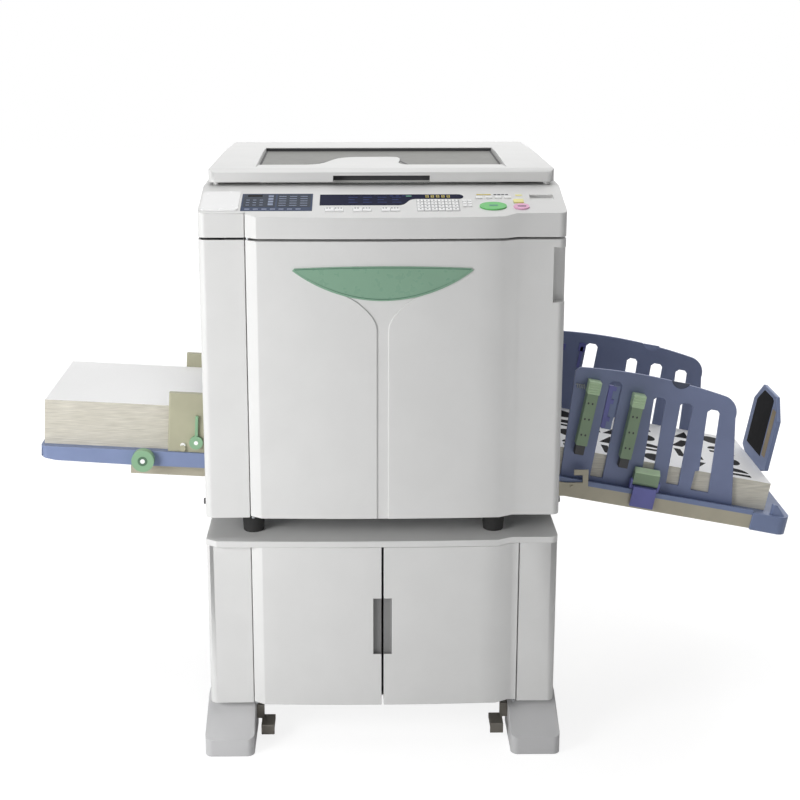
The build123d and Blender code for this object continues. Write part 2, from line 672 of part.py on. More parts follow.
def make_fork(x, y, cap_top):
    """Caster fork with its axle, trailing behind the swivel axis."""
    cap = rod_z(x, y, (cap_top - FORK_CAP, cap_top), FORK_CAP_RADIUS)
    axle_y = y + CASTER_TRAIL
    side_in = WHEEL_WIDTH / 2 + WHEEL_CLEAR
    fork = cap
    for side in (-1, 1):
        low = x + side * side_in
        high = x + side * (side_in + FORK_PLATE)
        plate = [(y - FORK_FRONT, cap_top - FORK_CAP), (y + FORK_BACK, cap_top - FORK_CAP)]
        plate += [(axle_y + FORK_TIP, WHEEL_RADIUS - FORK_TIP), (axle_y - FORK_TIP, WHEEL_RADIUS - FORK_TIP)]
        fork += prism_along_x(plate, (min(low, high), max(low, high)))
    fork += rod_x((x - side_in - FORK_PLATE, x + side_in + FORK_PLATE), axle_y, WHEEL_RADIUS, AXLE_RADIUS)
    return fork + rod_z(x, y, (cap_top, STAND_BOTTOM + WALL + 1), STEM_RADIUS)


def make_wheel(x, y):
    span = (x - WHEEL_WIDTH / 2, x + WHEEL_WIDTH / 2)
    tyre = rod_x(span, y + CASTER_TRAIL, WHEEL_RADIUS, WHEEL_RADIUS)
    return tyre - rod_x((span[0] - 1, span[1] + 1), y + CASTER_TRAIL, WHEEL_RADIUS, AXLE_RADIUS + RUN_FIT)


def make_rubber_feet():
    feet = []
    for x, y in product((RUBBER_LEFT - HALF, HALF - RUBBER_RIGHT), (RUBBER_FRONT, STAND_DEPTH - RUBBER_REAR)):
        foot = extrude(Circle(RUBBER_FOOT_RADIUS - 2.5), RUBBER_FOOT_HEIGHT, taper=-3.5)
        feet.append(Pos(x, y, STAND_TOP) * foot)
    return feet


def make_left_cover():
    """Strip at the front, side wall and the opening that the feed tray enters."""
    z = (BODY_BOTTOM, COVER_TOP)
    outer = rounded_block((-HALF, HALF), (0, BODY_DEPTH + 2 * CORNER), z, CORNER)
    outer &= block((-HALF, STRIP_EDGE), (0, BODY_DEPTH), z)
    room = rounded_block((WALL - HALF, HALF), (WALL, BODY_DEPTH + 2 * CORNER), (0, WIDE), CORNER - WALL)
    inside = room & block((-HALF, STRIP_EDGE - WALL), (0, PANEL_BACK), (0, WIDE))
    inside += room & block((-HALF, STRIP_EDGE + 1), (PANEL_BACK, BODY_DEPTH + 1), (0, WIDE))
    cover = outer - inside
    half = FEED_GUIDE_BACK + GUIDE_TRAVEL + 6
    return cover - block((-HALF - 1, -HALF + WALL + 1), (PAPER_MIDDLE - half, PAPER_MIDDLE + half),
                         (FEED_OPENING_BOTTOM, FEED_OPENING_TOP))


def make_right_cover():
    cover = block((HALF - WALL, HALF), (PANEL_BACK + STEP, BODY_DEPTH), (BODY_BOTTOM, COVER_TOP))
    half = PAPER_HALF + 11
    return cover - block((HALF - WALL - 1, HALF + 1), (PAPER_MIDDLE - half, PAPER_MIDDLE + half),
                         (OUT_OPENING_BOTTOM, OUT_OPENING_TOP))


def make_rear_cover(inlet):
    cover = block((-HALF + WALL, HALF - WALL), (BODY_DEPTH - WALL, BODY_DEPTH), (BODY_BOTTOM, COVER_TOP))
    return cover - inlet


def inlet_box():
    low = BODY_BOTTOM + INLET_UP
    return block((INLET_X - INLET_HALF, INLET_X + INLET_HALF), (BODY_DEPTH - INLET_DEPTH, BODY_DEPTH),
                 (low, low + INLET_HEIGHT))


def make_power_inlet():
    """Three pin mains inlet, set in the rear cover."""
    low = BODY_BOTTOM + INLET_UP
    socket_x = (INLET_X - INLET_HALF + WALL, INLET_X + INLET_HALF - WALL)
    floor = BODY_DEPTH - SOCKET_DEPTH
    body = inlet_box() - block(socket_x, (floor, BODY_DEPTH + 1), (low + WALL, low + INLET_HEIGHT - WALL))
    for x in (INLET_X - PIN_PITCH, INLET_X, INLET_X + PIN_PITCH):
        body += rod_y(x, (floor - 1, floor + INLET_PIN), low + INLET_HEIGHT / 2, 1.5)
    return body


def make_inner_frame():
    """Upright plates that carry the drum and rollers, and the rods that guide the feed tray."""
    plates = []
    for y in (FRAME_FRONT, FRAME_REAR - FRAME_PLATE):
        span = (y, y + FRAME_PLATE)
        plate = block((FRAME_LEFT, FRAME_RIGHT), span, (FLOOR_TOP, CONSOLE_BOTTOM))
        long_span = (span[0] - 1, span[1] + 1)
        plate -= rod_y(0, long_span, DRUM_Z, DRUM_SHAFT + RUN_FIT)
        plate -= rod_y(0, long_span, ROLLER_Z, ROLLER_SHAFT + RUN_FIT)
        plate -= rod_y(PICKUP_X, long_span, pickup_height(), PICKUP_SHAFT + RUN_FIT)
        plates.append(plate)
    for side in (-1, 1):
        rod_y_place = PAPER_MIDDLE + side * LIFT_ROD_OUT
        plates.append(rod_z(LIFT_ROD_X, rod_y_place, (FLOOR_TOP, LIFT_ROD_TOP), LIFT_ROD_RADIUS))
    return plates


def pickup_height():
    """Height of the pickup roller's axis, so that it just clears the top sheet."""
    along = (PICKUP_X + FEED_REACH) / cos(radians(FEED_TILT))
    sheet = FEED_TOP - along * sin(radians(FEED_TILT)) + FEED_HEIGHT / cos(radians(FEED_TILT))
    return sheet + PICKUP_RADIUS + 2 * CLEAR


def make_drum():
    """Hollow print drum with pierced ends on its shaft."""
    span = (PAPER_MIDDLE - DRUM_LENGTH / 2, PAPER_MIDDLE + DRUM_LENGTH / 2)
    room = (span[0] + DRUM_END, span[1] - DRUM_END)
    drum = rod_y(0, span, DRUM_Z, DRUM_RADIUS) - rod_y(0, room, DRUM_Z, DRUM_RADIUS - DRUM_WALL)
    for angle in (0, 120, 240):
        x = DRUM_HOLE_OUT * cos(radians(angle))
        z = DRUM_Z + DRUM_HOLE_OUT * sin(radians(angle))
        drum -= rod_y(x, (span[0] - 1, span[1] + 1), z, DRUM_HOLE)
    return drum + rod_y(0, (FRAME_FRONT - SHAFT_END, FRAME_REAR + SHAFT_END), DRUM_Z, DRUM_SHAFT)


def make_roller(x, z, radius, shaft, length):
    span = (PAPER_MIDDLE - length / 2, PAPER_MIDDLE + length / 2)
    return rod_y(x, span, z, radius) + rod_y(x, (FRAME_FRONT - SHAFT_END, FRAME_REAR + SHAFT_END), z, shaft)


def on_slope(x, low, high, below, above):
    """A box on the sloping panel: low and high are measured up the slope."""
    return PANEL_SLOPE * block(x, (low, high), (-below, above))


def oval_on_slope(x, low, high, grow, below, above):
    plan = Ellipse((x[1] - x[0]) / 2 + grow, (high - low) / 2 + grow)
    place = PANEL_SLOPE * Pos((x[0] + x[1]) / 2, (low + high) / 2, -below)
    return place * extrude(plan, below + above)


def key_boxes():
    """Places of the small keys: keypad, mode keys, keys below the display and keys at the right."""
    keys = []
    for column in range(KEYPAD_COLUMNS):
        for row in range(KEYPAD_ROWS):
            x = KEYPAD_LEFT + column * KEY_PITCH
            low = KEYPAD_LOW + row * KEY_PITCH
            keys.append(((x, x + KEY_LENGTH), low, low + KEY_HEIGHT))
    for column in range(2):
        for row in range(3):
            x = HALF - MODE_INSET + column * MODE_PITCH
            low = MODE_LOW + row * MODE_STEP
            keys.append(((x, x + MODE_KEY), low, low + MODE_KEY))
    first = DISPLAY_LEFT + PAIR_INSET
    last = KEYPAD_LEFT - 2 * PAIR_LENGTH
    for left in (first, (first + last) / 2, last):
        middle = left + PAIR_LENGTH / 2
        keys.append(((left, middle - PAIR_SEAM / 2), PAIR_LOW, PAIR_HIGH))
        keys.append(((middle + PAIR_SEAM / 2, left + PAIR_LENGTH), PAIR_LOW, PAIR_HIGH))
    for column in range(RIGHT_KEYS):
        x = HALF - RIGHT_KEY_INSET + column * RIGHT_KEY_PITCH
        keys.append(((x, x + RIGHT_KEY_LENGTH), RIGHT_KEY_LOW, RIGHT_KEY_LOW + MODE_KEY))
    return keys


def display_outline(grow):
    """Display window: tall at the left, an S curve up to a low strip with a round right end."""
    left = DISPLAY_LEFT - grow
    low = DISPLAY_LOW - grow
    step = DISPLAY_STEP - grow
    high = DISPLAY_HIGH + grow
    bend_start = KEYPAD_LEFT - DISPLAY_BEND
    bend_end = KEYPAD_LEFT
    right = KEYPAD_LEFT + DISPLAY_PAST + grow
    radius = (high - step) / 2
    lines = Line((left, low), (bend_start, low))
    lines += Spline((bend_start, low), (bend_end, step), tangents=((1, 0), (1, 0)))
    lines += Line((bend_end, step), (right - radius, step))
    lines += ThreePointArc((right - radius, step), (right, step + radius), (right - radius, high))
    lines += Line((right - radius, high), (left, high)) + Line((left, high), (left, low))
    return make_face(lines)


def make_display():
    return PANEL_SLOPE * Pos(0, 0, -PLATE_SINK) * extrude(display_outline(0), PLATE_THICK)


def make_label_panel():
    return on_slope(LABEL_X, LABEL_V[0], LABEL_V[1], PLATE_SINK, PLATE_THICK - PLATE_SINK)


def make_blank_cover():
    plate = rounded_block(BLANK_X, BLANK_V, (0, 2.5), 6)
    return PANEL_SLOPE * plate


def make_small_keys():
    return [on_slope(x, low, high, KEY_BELOW, KEY_ABOVE) for x, low, high in key_boxes()]


def make_console():
    z = (CONSOLE_BOTTOM, PLATEN_TOP)
    console = bulged_front(COVER_LEFT, HALF, BODY_DEPTH, z, CORNER)
    strip = rounded_block((-HALF, HALF), (0, BODY_DEPTH + 2 * CORNER), z, CORNER)
    console += strip & block((-HALF, STRIP_EDGE), (0, BODY_DEPTH), z)
    console += block((STRIP_EDGE, COVER_LEFT), (6, BODY_DEPTH), z)
    lower = -ARCH_MIDDLE - STEP
    slope_z = SLOPE_LOW + lower * SLOPE_RISE / SLOPE_DEPTH
    wedge = [(lower, slope_z), (SLOPE_DEPTH, PLATEN_TOP), (SLOPE_DEPTH, WIDE), (lower, WIDE)]
    console -= prism_along_x(wedge, (-WIDE, WIDE))
    inner_x = (-HALF + CONSOLE_WALL, HALF - CONSOLE_WALL)
    floor = CONSOLE_BOTTOM + CONSOLE_WALL
    console -= block(inner_x, (SLOPE_DEPTH, BODY_DEPTH - CONSOLE_WALL), (floor, PLATEN_TOP - CONSOLE_WALL))
    console -= block(inner_x, (CORNER, SLOPE_DEPTH), (floor, SLOPE_LOW - SLOPE_WALL))
    glass_y = (glass_start(), glass_start() + GLASS_DEPTH)
    console -= block((-GLASS_HALF - CLEAR, GLASS_HALF + CLEAR), (glass_y[0] - CLEAR, glass_y[1] + CLEAR),
                     (PLATEN_TOP - GLASS_THICK, PLATEN_TOP + 1))
    console -= block((GLASS_LEDGE - GLASS_HALF, GLASS_HALF - GLASS_LEDGE),
                     (glass_y[0] + GLASS_LEDGE, glass_y[1] - GLASS_LEDGE), (PLATEN_TOP - 9, PLATEN_TOP))
    axis_y = LID_REAR - LID_AXIS_BACK
    axis_z = LID_BOTTOM + LID_AXIS_UP
    for side in (-1, 1):
        span = (side * LID_BRACKET_X - LID_BRACKET_WIDTH / 2, side * LID_BRACKET_X + LID_BRACKET_WIDTH / 2)
        stem_y = (axis_y - LID_BRACKET_RADIUS, axis_y + LID_BRACKET_RADIUS)
        bracket = rod_x(span, axis_y, axis_z, LID_BRACKET_RADIUS) + block(span, stem_y, (PLATEN_TOP, axis_z))
        bore = (span[0] - 1, span[1] + 1)
        console += bracket
        console -= rod_x(bore, axis_y, axis_z, LID_PIN_RADIUS)
    return console - panel_pockets()


def panel_pockets():
    """Pockets in the slope for the windows and keys, and the finger grip at the right."""
    top = 20.0
    pockets = on_slope((LABEL_X[0] - CLEAR, LABEL_X[1] + CLEAR), LABEL_V[0] - CLEAR, LABEL_V[1] + CLEAR,
                       PLATE_SINK, top)
    pockets += PANEL_SLOPE * Pos(0, 0, -PLATE_SINK) * extrude(display_outline(CLEAR), top)
    pockets += on_slope(GRIP_SLOPE_X, 58, 80, 5, top)
    for x, low, high in key_boxes() + [RESET_KEY]:
        pockets += on_slope((x[0] - CLEAR, x[1] + CLEAR), low - CLEAR, high + CLEAR, KEY_SINK, top)
    for x, low, high in (START_KEY, STOP_KEY):
        pockets += oval_on_slope(x, low, high, CLEAR, KEY_SINK, top)
    return pockets


def glass_start():
    return SLOPE_DEPTH + GLASS_BACK


def make_glass():
    y = (glass_start(), glass_start() + GLASS_DEPTH)
    return block((-GLASS_HALF, GLASS_HALF), y, (PLATEN_TOP - GLASS_THICK, PLATEN_TOP))


def rail_places():
    return (glass_start() + RAIL_INSET, glass_start() + GLASS_DEPTH - RAIL_INSET)


def make_rails():
    x = (-HALF + CONSOLE_WALL, HALF - CONSOLE_WALL)
    return [rod_x(x, y, CONSOLE_BOTTOM + RAIL_UP, RAIL_RADIUS) for y in rail_places()]


def make_carriage():
    """Scanner carriage with a lamp slot, bored for its two rails."""
    x = (CARRIAGE_REST - CARRIAGE_WIDTH / 2, CARRIAGE_REST + CARRIAGE_WIDTH / 2)
    y = (glass_start() + CARRIAGE_END, glass_start() + GLASS_DEPTH - CARRIAGE_END)
    rail_z = CONSOLE_BOTTOM + RAIL_UP
    top = rail_z + CARRIAGE_UP
    carriage = block(x, y, (rail_z - CARRIAGE_DOWN, top))
    slot_x = (CARRIAGE_REST - LAMP_SLOT_HALF, CARRIAGE_REST + LAMP_SLOT_HALF)
    carriage -= block(slot_x, (y[0] + CARRIAGE_DOWN, y[1] - CARRIAGE_DOWN), (top - LAMP_SLOT_DEPTH, top + 1))
    for rail_y in rail_places():
        carriage -= rod_x((x[0] - 1, x[1] + 1), rail_y, rail_z, RAIL_RADIUS + RUN_FIT)
    return carriage


def dark_floor_outline(inset):
    """Dark floor of the lid's recess: its front edge swells back in a smooth hump."""
    front = LID_FRONT + TRAY_START + TRAY_RAMP + inset
    back = LID_FRONT + TRAY_END - inset
    half = TRAY_HALF - inset
    crest = front + HUMP_DEPTH
    lines = Line((-half, front), (HUMP_LEFT - inset, front))
    lines += Spline((HUMP_LEFT - inset, front), (-40 - inset, crest), tangents=((1, 0), (1, 0)))
    lines += Line((-40 - inset, crest), (18 + inset, crest))
    lines += Spline((18 + inset, crest), (HUMP_RIGHT + inset, front), tangents=((1, 0), (1, 0)))
    lines += Line((HUMP_RIGHT + inset, front), (half, front)) + Line((half, front), (half, back))
    lines += Line((half, back), (-half, back)) + Line((-half, back), (-half, front))
    return make_face(lines)


def make_lid():
    rear_half = LID_HALF - LID_TAPER
    corners = [(-LID_HALF, LID_FRONT), (LID_HALF, LID_FRONT), (rear_half, LID_REAR), (-rear_half, LID_REAR)]
    plan = fillet(make_face(Polyline(*corners, close=True)).vertices(), CORNER)
    side = [(LID_FRONT, LID_BOTTOM), (LID_FRONT, LID_TOP - 6), (LID_FRONT + 4, LID_TOP - 3)]
    side += [(LID_FRONT + 14, LID_TOP), (LID_CREASE, LID_TOP), (LID_REAR, LID_TOP - LID_REAR_DROP)]
    side += [(LID_REAR, LID_BOTTOM)]
    lid = extrude(Pos(0, 0, LID_BOTTOM) * plan, LID_THICK) & prism_along_x(side, (-WIDE, WIDE))
    ramp_start = LID_FRONT + TRAY_START
    back = LID_FRONT + TRAY_END
    ramp_low = LID_TOP - RAMP_DROP
    above = LID_TOP + 0.1
    ramp = [(ramp_start, above), (ramp_start + TRAY_RAMP, ramp_low), (back, ramp_low), (back, above)]
    lid -= prism_along_x(ramp, (-TRAY_HALF, TRAY_HALF))
    lid -= Pos(0, 0, LID_BOTTOM + LID_FLOOR) * extrude(dark_floor_outline(0), LID_THICK)
    lid -= block((-LID_HALF + 22, LID_HALF - 22), (LID_FRONT + LID_RIM, LID_REAR - 24),
                 (LID_BOTTOM - 1, LID_BOTTOM + LID_HOLLOW))
    notch_y = (LID_FRONT - 1, LID_FRONT + HANDLE_DEPTH)
    lid -= block((-HANDLE_HALF, HANDLE_HALF), notch_y, (LID_BOTTOM - 1, LID_BOTTOM + HANDLE_HEIGHT))
    axis_y = LID_REAR - LID_AXIS_BACK
    axis_z = LID_BOTTOM + LID_AXIS_UP
    room = LID_BRACKET_RADIUS + 1
    for side_x in (-LID_BRACKET_X, LID_BRACKET_X):
        reach = LID_BRACKET_WIDTH / 2
        gap = (side_x - reach - CLEAR, side_x + reach + CLEAR)
        lid -= block(gap, (axis_y - room - 1, LID_REAR + 1), (LID_BOTTOM - 1, axis_z))
        lid -= rod_x(gap, axis_y, axis_z, room)
        lid -= block(gap, (axis_y, LID_REAR + 1), (LID_BOTTOM - 1, axis_z + room))
        lid -= rod_x((side_x - reach - 8, side_x + reach + 8), axis_y, axis_z, LID_PIN_RADIUS + RUN_FIT)
    for side in (-1, 1):
        bumper_x = side * (LID_HALF - BUMPER_INSET)
        lid += rod_z(bumper_x, LID_FRONT + BUMPER_INSET, (PLATEN_TOP + CLEAR, LID_BOTTOM), BUMPER_RADIUS)
    return lid


def make_document_floor():
    return Pos(0, 0, LID_BOTTOM + LID_FLOOR) * extrude(dark_floor_outline(CLEAR), FLOOR_PLATE)


def make_pad():
    half = GLASS_HALF + PAD_OVERLAP
    y = (LID_FRONT + LID_RIM + CLEAR, glass_start() + GLASS_DEPTH + PAD_PAST)
    return rounded_block((-half, half), y, (PLATEN_TOP + 2 * CLEAR, LID_BOTTOM + LID_HOLLOW), PAD_CORNER)


def make_feed_tray():
    low = -FEED_SKIRT
    outline = [(0, 0), (0, low + FEED_NOSE), (FEED_NOSE_LENGTH, low + 2), (FRAME_START, low)]
    outline += [(FEED_LENGTH, low), (FEED_LENGTH, 0)]
    tray = prism_along_y(outline, (-FEED_HALF, FEED_HALF))
    tray &= rounded_block((0, FEED_LENGTH + 2 * CORNER), (-FEED_HALF, FEED_HALF), (-WIDE, WIDE), CORNER)
    tray -= block((FEED_WALL, FEED_LENGTH - FEED_WALL), (FEED_WALL - FEED_HALF, FEED_HALF - FEED_WALL),
                  (-WIDE, -FEED_WALL))
    tray -= rod_y(DIAL_X, (-FEED_HALF - 1, -FEED_HALF + FEED_WALL + 1), -DIAL_DOWN, DIAL_PIN + RUN_FIT)
    return FEED_PLACE * tray


def make_feed_tray_frame():
    """Channel under the tray, deeper outside the body, with the crossbar that runs on the lift rods."""
    frame_y = (-FEED_FRAME_HALF, FEED_FRAME_HALF)
    apron_end = FEED_OUT - FEED_APRON_GAP
    outer = block((FRAME_START, FRAME_END), frame_y, (-FEED_FRAME_DROP, -FEED_WALL))
    outer += block((FRAME_START, apron_end), frame_y, (-FEED_APRON_DROP, -FEED_FRAME_DROP))
    room_half = FEED_FRAME_HALF - FEED_WALL
    outer -= block((FRAME_START + FEED_WALL, FRAME_END - FEED_WALL), (-room_half, room_half),
                   (-FEED_APRON_DROP - 1, -2 * FEED_WALL))
    frame = FEED_PLACE * outer
    reach = LIFT_ROD_OUT + LIFT_ROD_RADIUS + CROSSBAR_PAST
    span = (PAPER_MIDDLE - reach, PAPER_MIDDLE + reach)
    bar_x = (LIFT_ROD_X - CROSSBAR_HALF, LIFT_ROD_X + CROSSBAR_HALF)
    frame += block(bar_x, span, (CROSSBAR_TOP - CROSSBAR_HEIGHT, CROSSBAR_TOP))
    for side in (-1, 1):
        frame -= rod_z(LIFT_ROD_X, PAPER_MIDDLE + side * LIFT_ROD_OUT, (0, WIDE), LIFT_ROD_RADIUS + RUN_FIT)
    return frame


def make_feed_stack():
    x = (FEED_PAPER_START, FEED_PAPER_START + PAPER_LENGTH)
    return FEED_PLACE * block(x, (-PAPER_HALF, PAPER_HALF), (0, FEED_HEIGHT))


def make_feed_guide(side):
    """Side guide of the feed tray, a rounded wall beside the stack."""
    y = (GUIDE_FACE, FEED_GUIDE_BACK) if side > 0 else (-FEED_GUIDE_BACK, -GUIDE_FACE)
    wall = rounded_block((GUIDE_START, FRAME_END), y, (CLEAR, GUIDE_HEIGHT), GUIDE_CORNER)
    if side < 0:
        wall += rod_y(LOCK_X - STUD_ALONG, (y[0] - STUD_OUT, y[0]), STUD_UP, STUD_RADIUS)
        wall -= rod_y(LOCK_X, (y[0] - 1, y[0] + LOCK_PIN_LENGTH + 1), LOCK_UP, LOCK_PIN + RUN_FIT)
    return FEED_PLACE * wall


def make_feed_lock():
    y = (-FEED_GUIDE_BACK - CLEAR - LOCK_THICK, -FEED_GUIDE_BACK - CLEAR)
    lock = rod_y(LOCK_X, y, LOCK_UP, LOCK_RADIUS)
    lock += rod_y(LOCK_X, (y[1], y[1] + LOCK_PIN_LENGTH), LOCK_UP, LOCK_PIN)
    arm_x = (LOCK_X - LOCK_ARM_HALF, LOCK_X + LOCK_ARM_HALF)
    lock += block(arm_x, (y[0] + 2, y[1]), (LOCK_UP, LOCK_UP + LOCK_ARM))
    return FEED_PLACE * lock


def make_dial():
    """Green dial on the front of the feed tray."""
    y = (-FEED_HALF - CLEAR - DIAL_THICK, -FEED_HALF - CLEAR)
    dial = rod_y(DIAL_X, y, -DIAL_DOWN, DIAL_RADIUS)
    dial += rod_y(DIAL_X, (y[1], y[1] + DIAL_PIN_LENGTH), -DIAL_DOWN, DIAL_PIN)
    ring_y = (y[0] - 1, y[0] + DIAL_RING_DEPTH)
    ring = rod_y(DIAL_X, ring_y, -DIAL_DOWN, DIAL_RING_OUTER)
    ring -= rod_y(DIAL_X, ring_y, -DIAL_DOWN, DIAL_RING_INNER)
    return FEED_PLACE * (dial - ring)


def make_receiving_tray():
    tray = block((0, OUT_LENGTH), (-OUT_HALF, OUT_HALF), (-OUT_PLATE, 0))
    for side in (-1, 1):
        y = (side * OUT_HALF, side * (OUT_HALF - OUT_LIP))
        tray += block((0, OUT_LENGTH), (min(y), max(y)), (0, OUT_LIP))
    return OUT_PLACE * tray


def make_receiving_frame():
    """Beige channel under the receiving tray, bored for the pins of its brackets."""
    frame = block((0, OUT_LENGTH), (2 - OUT_HALF, OUT_HALF - 2), (-OUT_SKIRT, -OUT_PLATE))
    frame -= block((4, OUT_LENGTH - 4), (6 - OUT_HALF, OUT_HALF - 6), (-OUT_SKIRT - 1, -OUT_PLATE - 4))
    return OUT_PLACE * frame - hook_pin_rods(HOOK_PIN_RADIUS)


def hook_pin_rods(radius):
    rods = []
    for side in (-1, 1):
        inner = PAPER_MIDDLE + side * (OUT_HALF - 6)
        outer = PAPER_MIDDLE + side * (OUT_HALF + 8)
        rods.append(rod_y(HOOK_PIN_X, (min(inner, outer), max(inner, outer)), HOOK_PIN_Z, radius))
    return rods


def make_tray_brackets():
    """Hooked plates on the body's right side that hold the receiving tray, with their pins."""
    pieces = []
    corner_low = HOOK_LOW + HOOK_CORNER
    arm_low = HOOK_HIGH - HOOK_ARM
    mouth_low = HOOK_HIGH - HOOK_MOUTH
    tip_x = HOOK_REACH - HOOK_TIP
    arm_x = HOOK_REACH - HOOK_ARM
    outline = [(HALF, HOOK_LOW), (HOOK_REACH - HOOK_CORNER, HOOK_LOW), (HOOK_REACH, corner_low)]
    outline += [(HOOK_REACH, HOOK_HIGH), (tip_x, HOOK_HIGH), (tip_x, arm_low), (arm_x, arm_low)]
    outline += [(arm_x, mouth_low), (HOOK_REACH - HOOK_BACK, mouth_low), (HALF, HOOK_HIGH - HOOK_FALL)]
    for side in (-1, 1):
        y = (PAPER_MIDDLE + side * (OUT_HALF + 2), PAPER_MIDDLE + side * (OUT_HALF + 5))
        plate = prism_along_y(outline, (min(y), max(y)))
        flange = (PAPER_MIDDLE + side * (OUT_HALF + 5), PAPER_MIDDLE + side * (OUT_HALF + 22))
        plate += block((HALF, HALF + WALL), (min(flange), max(flange)), (corner_low, HOOK_HIGH - HOOK_FALL))
        pieces.append(plate)
    rods = hook_pin_rods(HOOK_PIN_RADIUS)
    return [plate + rod for plate, rod in zip(pieces, rods)]


def make_end_cap():
    start = OUT_LENGTH
    cap = rounded_block((start - 2 * CAP_RADIUS, start + CAP_LENGTH), (-OUT_HALF - 2, OUT_HALF + 2),
                        (-OUT_SKIRT - 2, 0), CAP_RADIUS)
    cap &= block((start, start + CAP_LENGTH), (-WIDE, WIDE), (-WIDE, WIDE))
    cap -= rounded_block((start + 4, start + CAP_LENGTH - 4), (4 - OUT_HALF, OUT_HALF - 4),
                         (-OUT_SKIRT - 3, -OUT_PLATE), CAP_RADIUS - 6)
    wedge = [(start + 38, 0), (start + 66, 0), (start + 46, 20), (start + 38, 20)]
    cap += prism_along_y(wedge, (-OUT_HALF + 6, -OUT_HALF + 18))
    return OUT_PLACE * cap


def make_printed_stack():
    x = (OUT_PAPER_START, OUT_PAPER_START + PAPER_LENGTH)
    return OUT_PLACE * block(x, (-PAPER_HALF, PAPER_HALF), (0, PRINTED_HEIGHT))


def slot(bottom, top, width):
    """Slanted slot between two (x, z) points, with rounded corners at its upper end."""
    half = width / 2
    corners = [(bottom[0] - half, bottom[1]), (bottom[0] + half, bottom[1])]
    corners += [(top[0] + half, top[1] - 6), (top[0] + half - 6, top[1])]
    corners += [(top[0] - half + 6, top[1]), (top[0] - half, top[1] - 6)]
    return corners


def make_receiving_guide(side):
    """Tall slotted side guide of the receiving tray with its arched top."""
    y = (GUIDE_FACE, OUT_GUIDE_BACK) if side > 0 else (-OUT_GUIDE_BACK, -GUIDE_FACE)
    foot = OUT_GUIDE_FOOT
    left, right = OUT_GUIDE_BASE
    nose_top, nose = OUT_GUIDE_NOSE
    lines = Line((left, foot), (right, foot)) + Line((right, foot), OUT_GUIDE_SHOULDER)
    lines += ThreePointArc(OUT_GUIDE_SHOULDER, OUT_GUIDE_BEND, OUT_GUIDE_REAR)
    lines += ThreePointArc(OUT_GUIDE_REAR, (OUT_GUIDE_CREST, OUT_GUIDE_ARCH), nose_top)
    lines += Line(nose_top, nose) + Line(nose, (left, foot))
    plate = Pos(0, y[1], 0) * Rot(90, 0, 0) * extrude(make_face(lines), y[1] - y[0])
    for bottom, top, width in OUT_SLOTS:
        plate -= prism_along_y(slot(bottom, top, width), (y[0] - 1, y[1] + 1))
    plate -= prism_along_y(SLOT_STEP, (y[0] - 1, y[1] + 1))
    plate -= rod_y(CUP_X, (y[0] - 1, y[1] + 1), OUT_GUIDE_ARCH + CUP_UP, CUP_RADIUS)
    rail = block((left, right), y, (CLEAR, foot))
    plate += rail
    if side < 0:
        for x, low in ARRANGERS:
            peg_z = low + ARRANGER_FOOT + ARRANGER_BODY / 2
            plate -= rod_y(x, (y[0] - 1, y[1] + 1), peg_z, ARRANGER_PEG + RUN_FIT)
    return OUT_PLACE * plate


def make_arranger(x, low):
    """Green paper arranger: a foot, a long body and a ribbed cap, on a peg in the guide."""
    half = ARRANGER_WIDTH / 2
    back = -OUT_GUIDE_BACK - CLEAR
    y = (back - ARRANGER_DEPTH, back)
    body_low = low + ARRANGER_FOOT
    cap_low = body_low + ARRANGER_BODY
    piece = block((x - half + 3, x + half - 3), (y[0] + 4, y[1]), (low, body_low))
    piece += block((x - half + 1, x + half - 1), y, (body_low, cap_low))
    piece += block((x - half, x + half), (y[0] - 3, y[1]), (cap_low, cap_low + ARRANGER_CAP))
    for rib in range(4):
        rib_z = cap_low + 4 + rib * 5
        piece -= block((x - half - 1, x + half + 1), (y[0] - 4, y[0] - 2), (rib_z, rib_z + 2))
    peg_z = body_low + ARRANGER_BODY / 2
    piece += rod_y(x, (y[1], y[1] + OUT_GUIDE_THICK), peg_z, ARRANGER_PEG)
    return OUT_PLACE * piece


def make_arranger_links():
    """Small links in the upper half of the first slot of the front guide."""
    y = (-OUT_GUIDE_BACK, -GUIDE_FACE)
    strip = [(76, 110), (85, 110), (84, 196), (75, 196)]
    link = prism_along_y(strip, (y[0] + 1, y[1]))
    for low in (124, 160, 186):
        link += block((80, 90), (y[0] + 1, y[1]), (low, low + 9))
    return OUT_PLACE * link


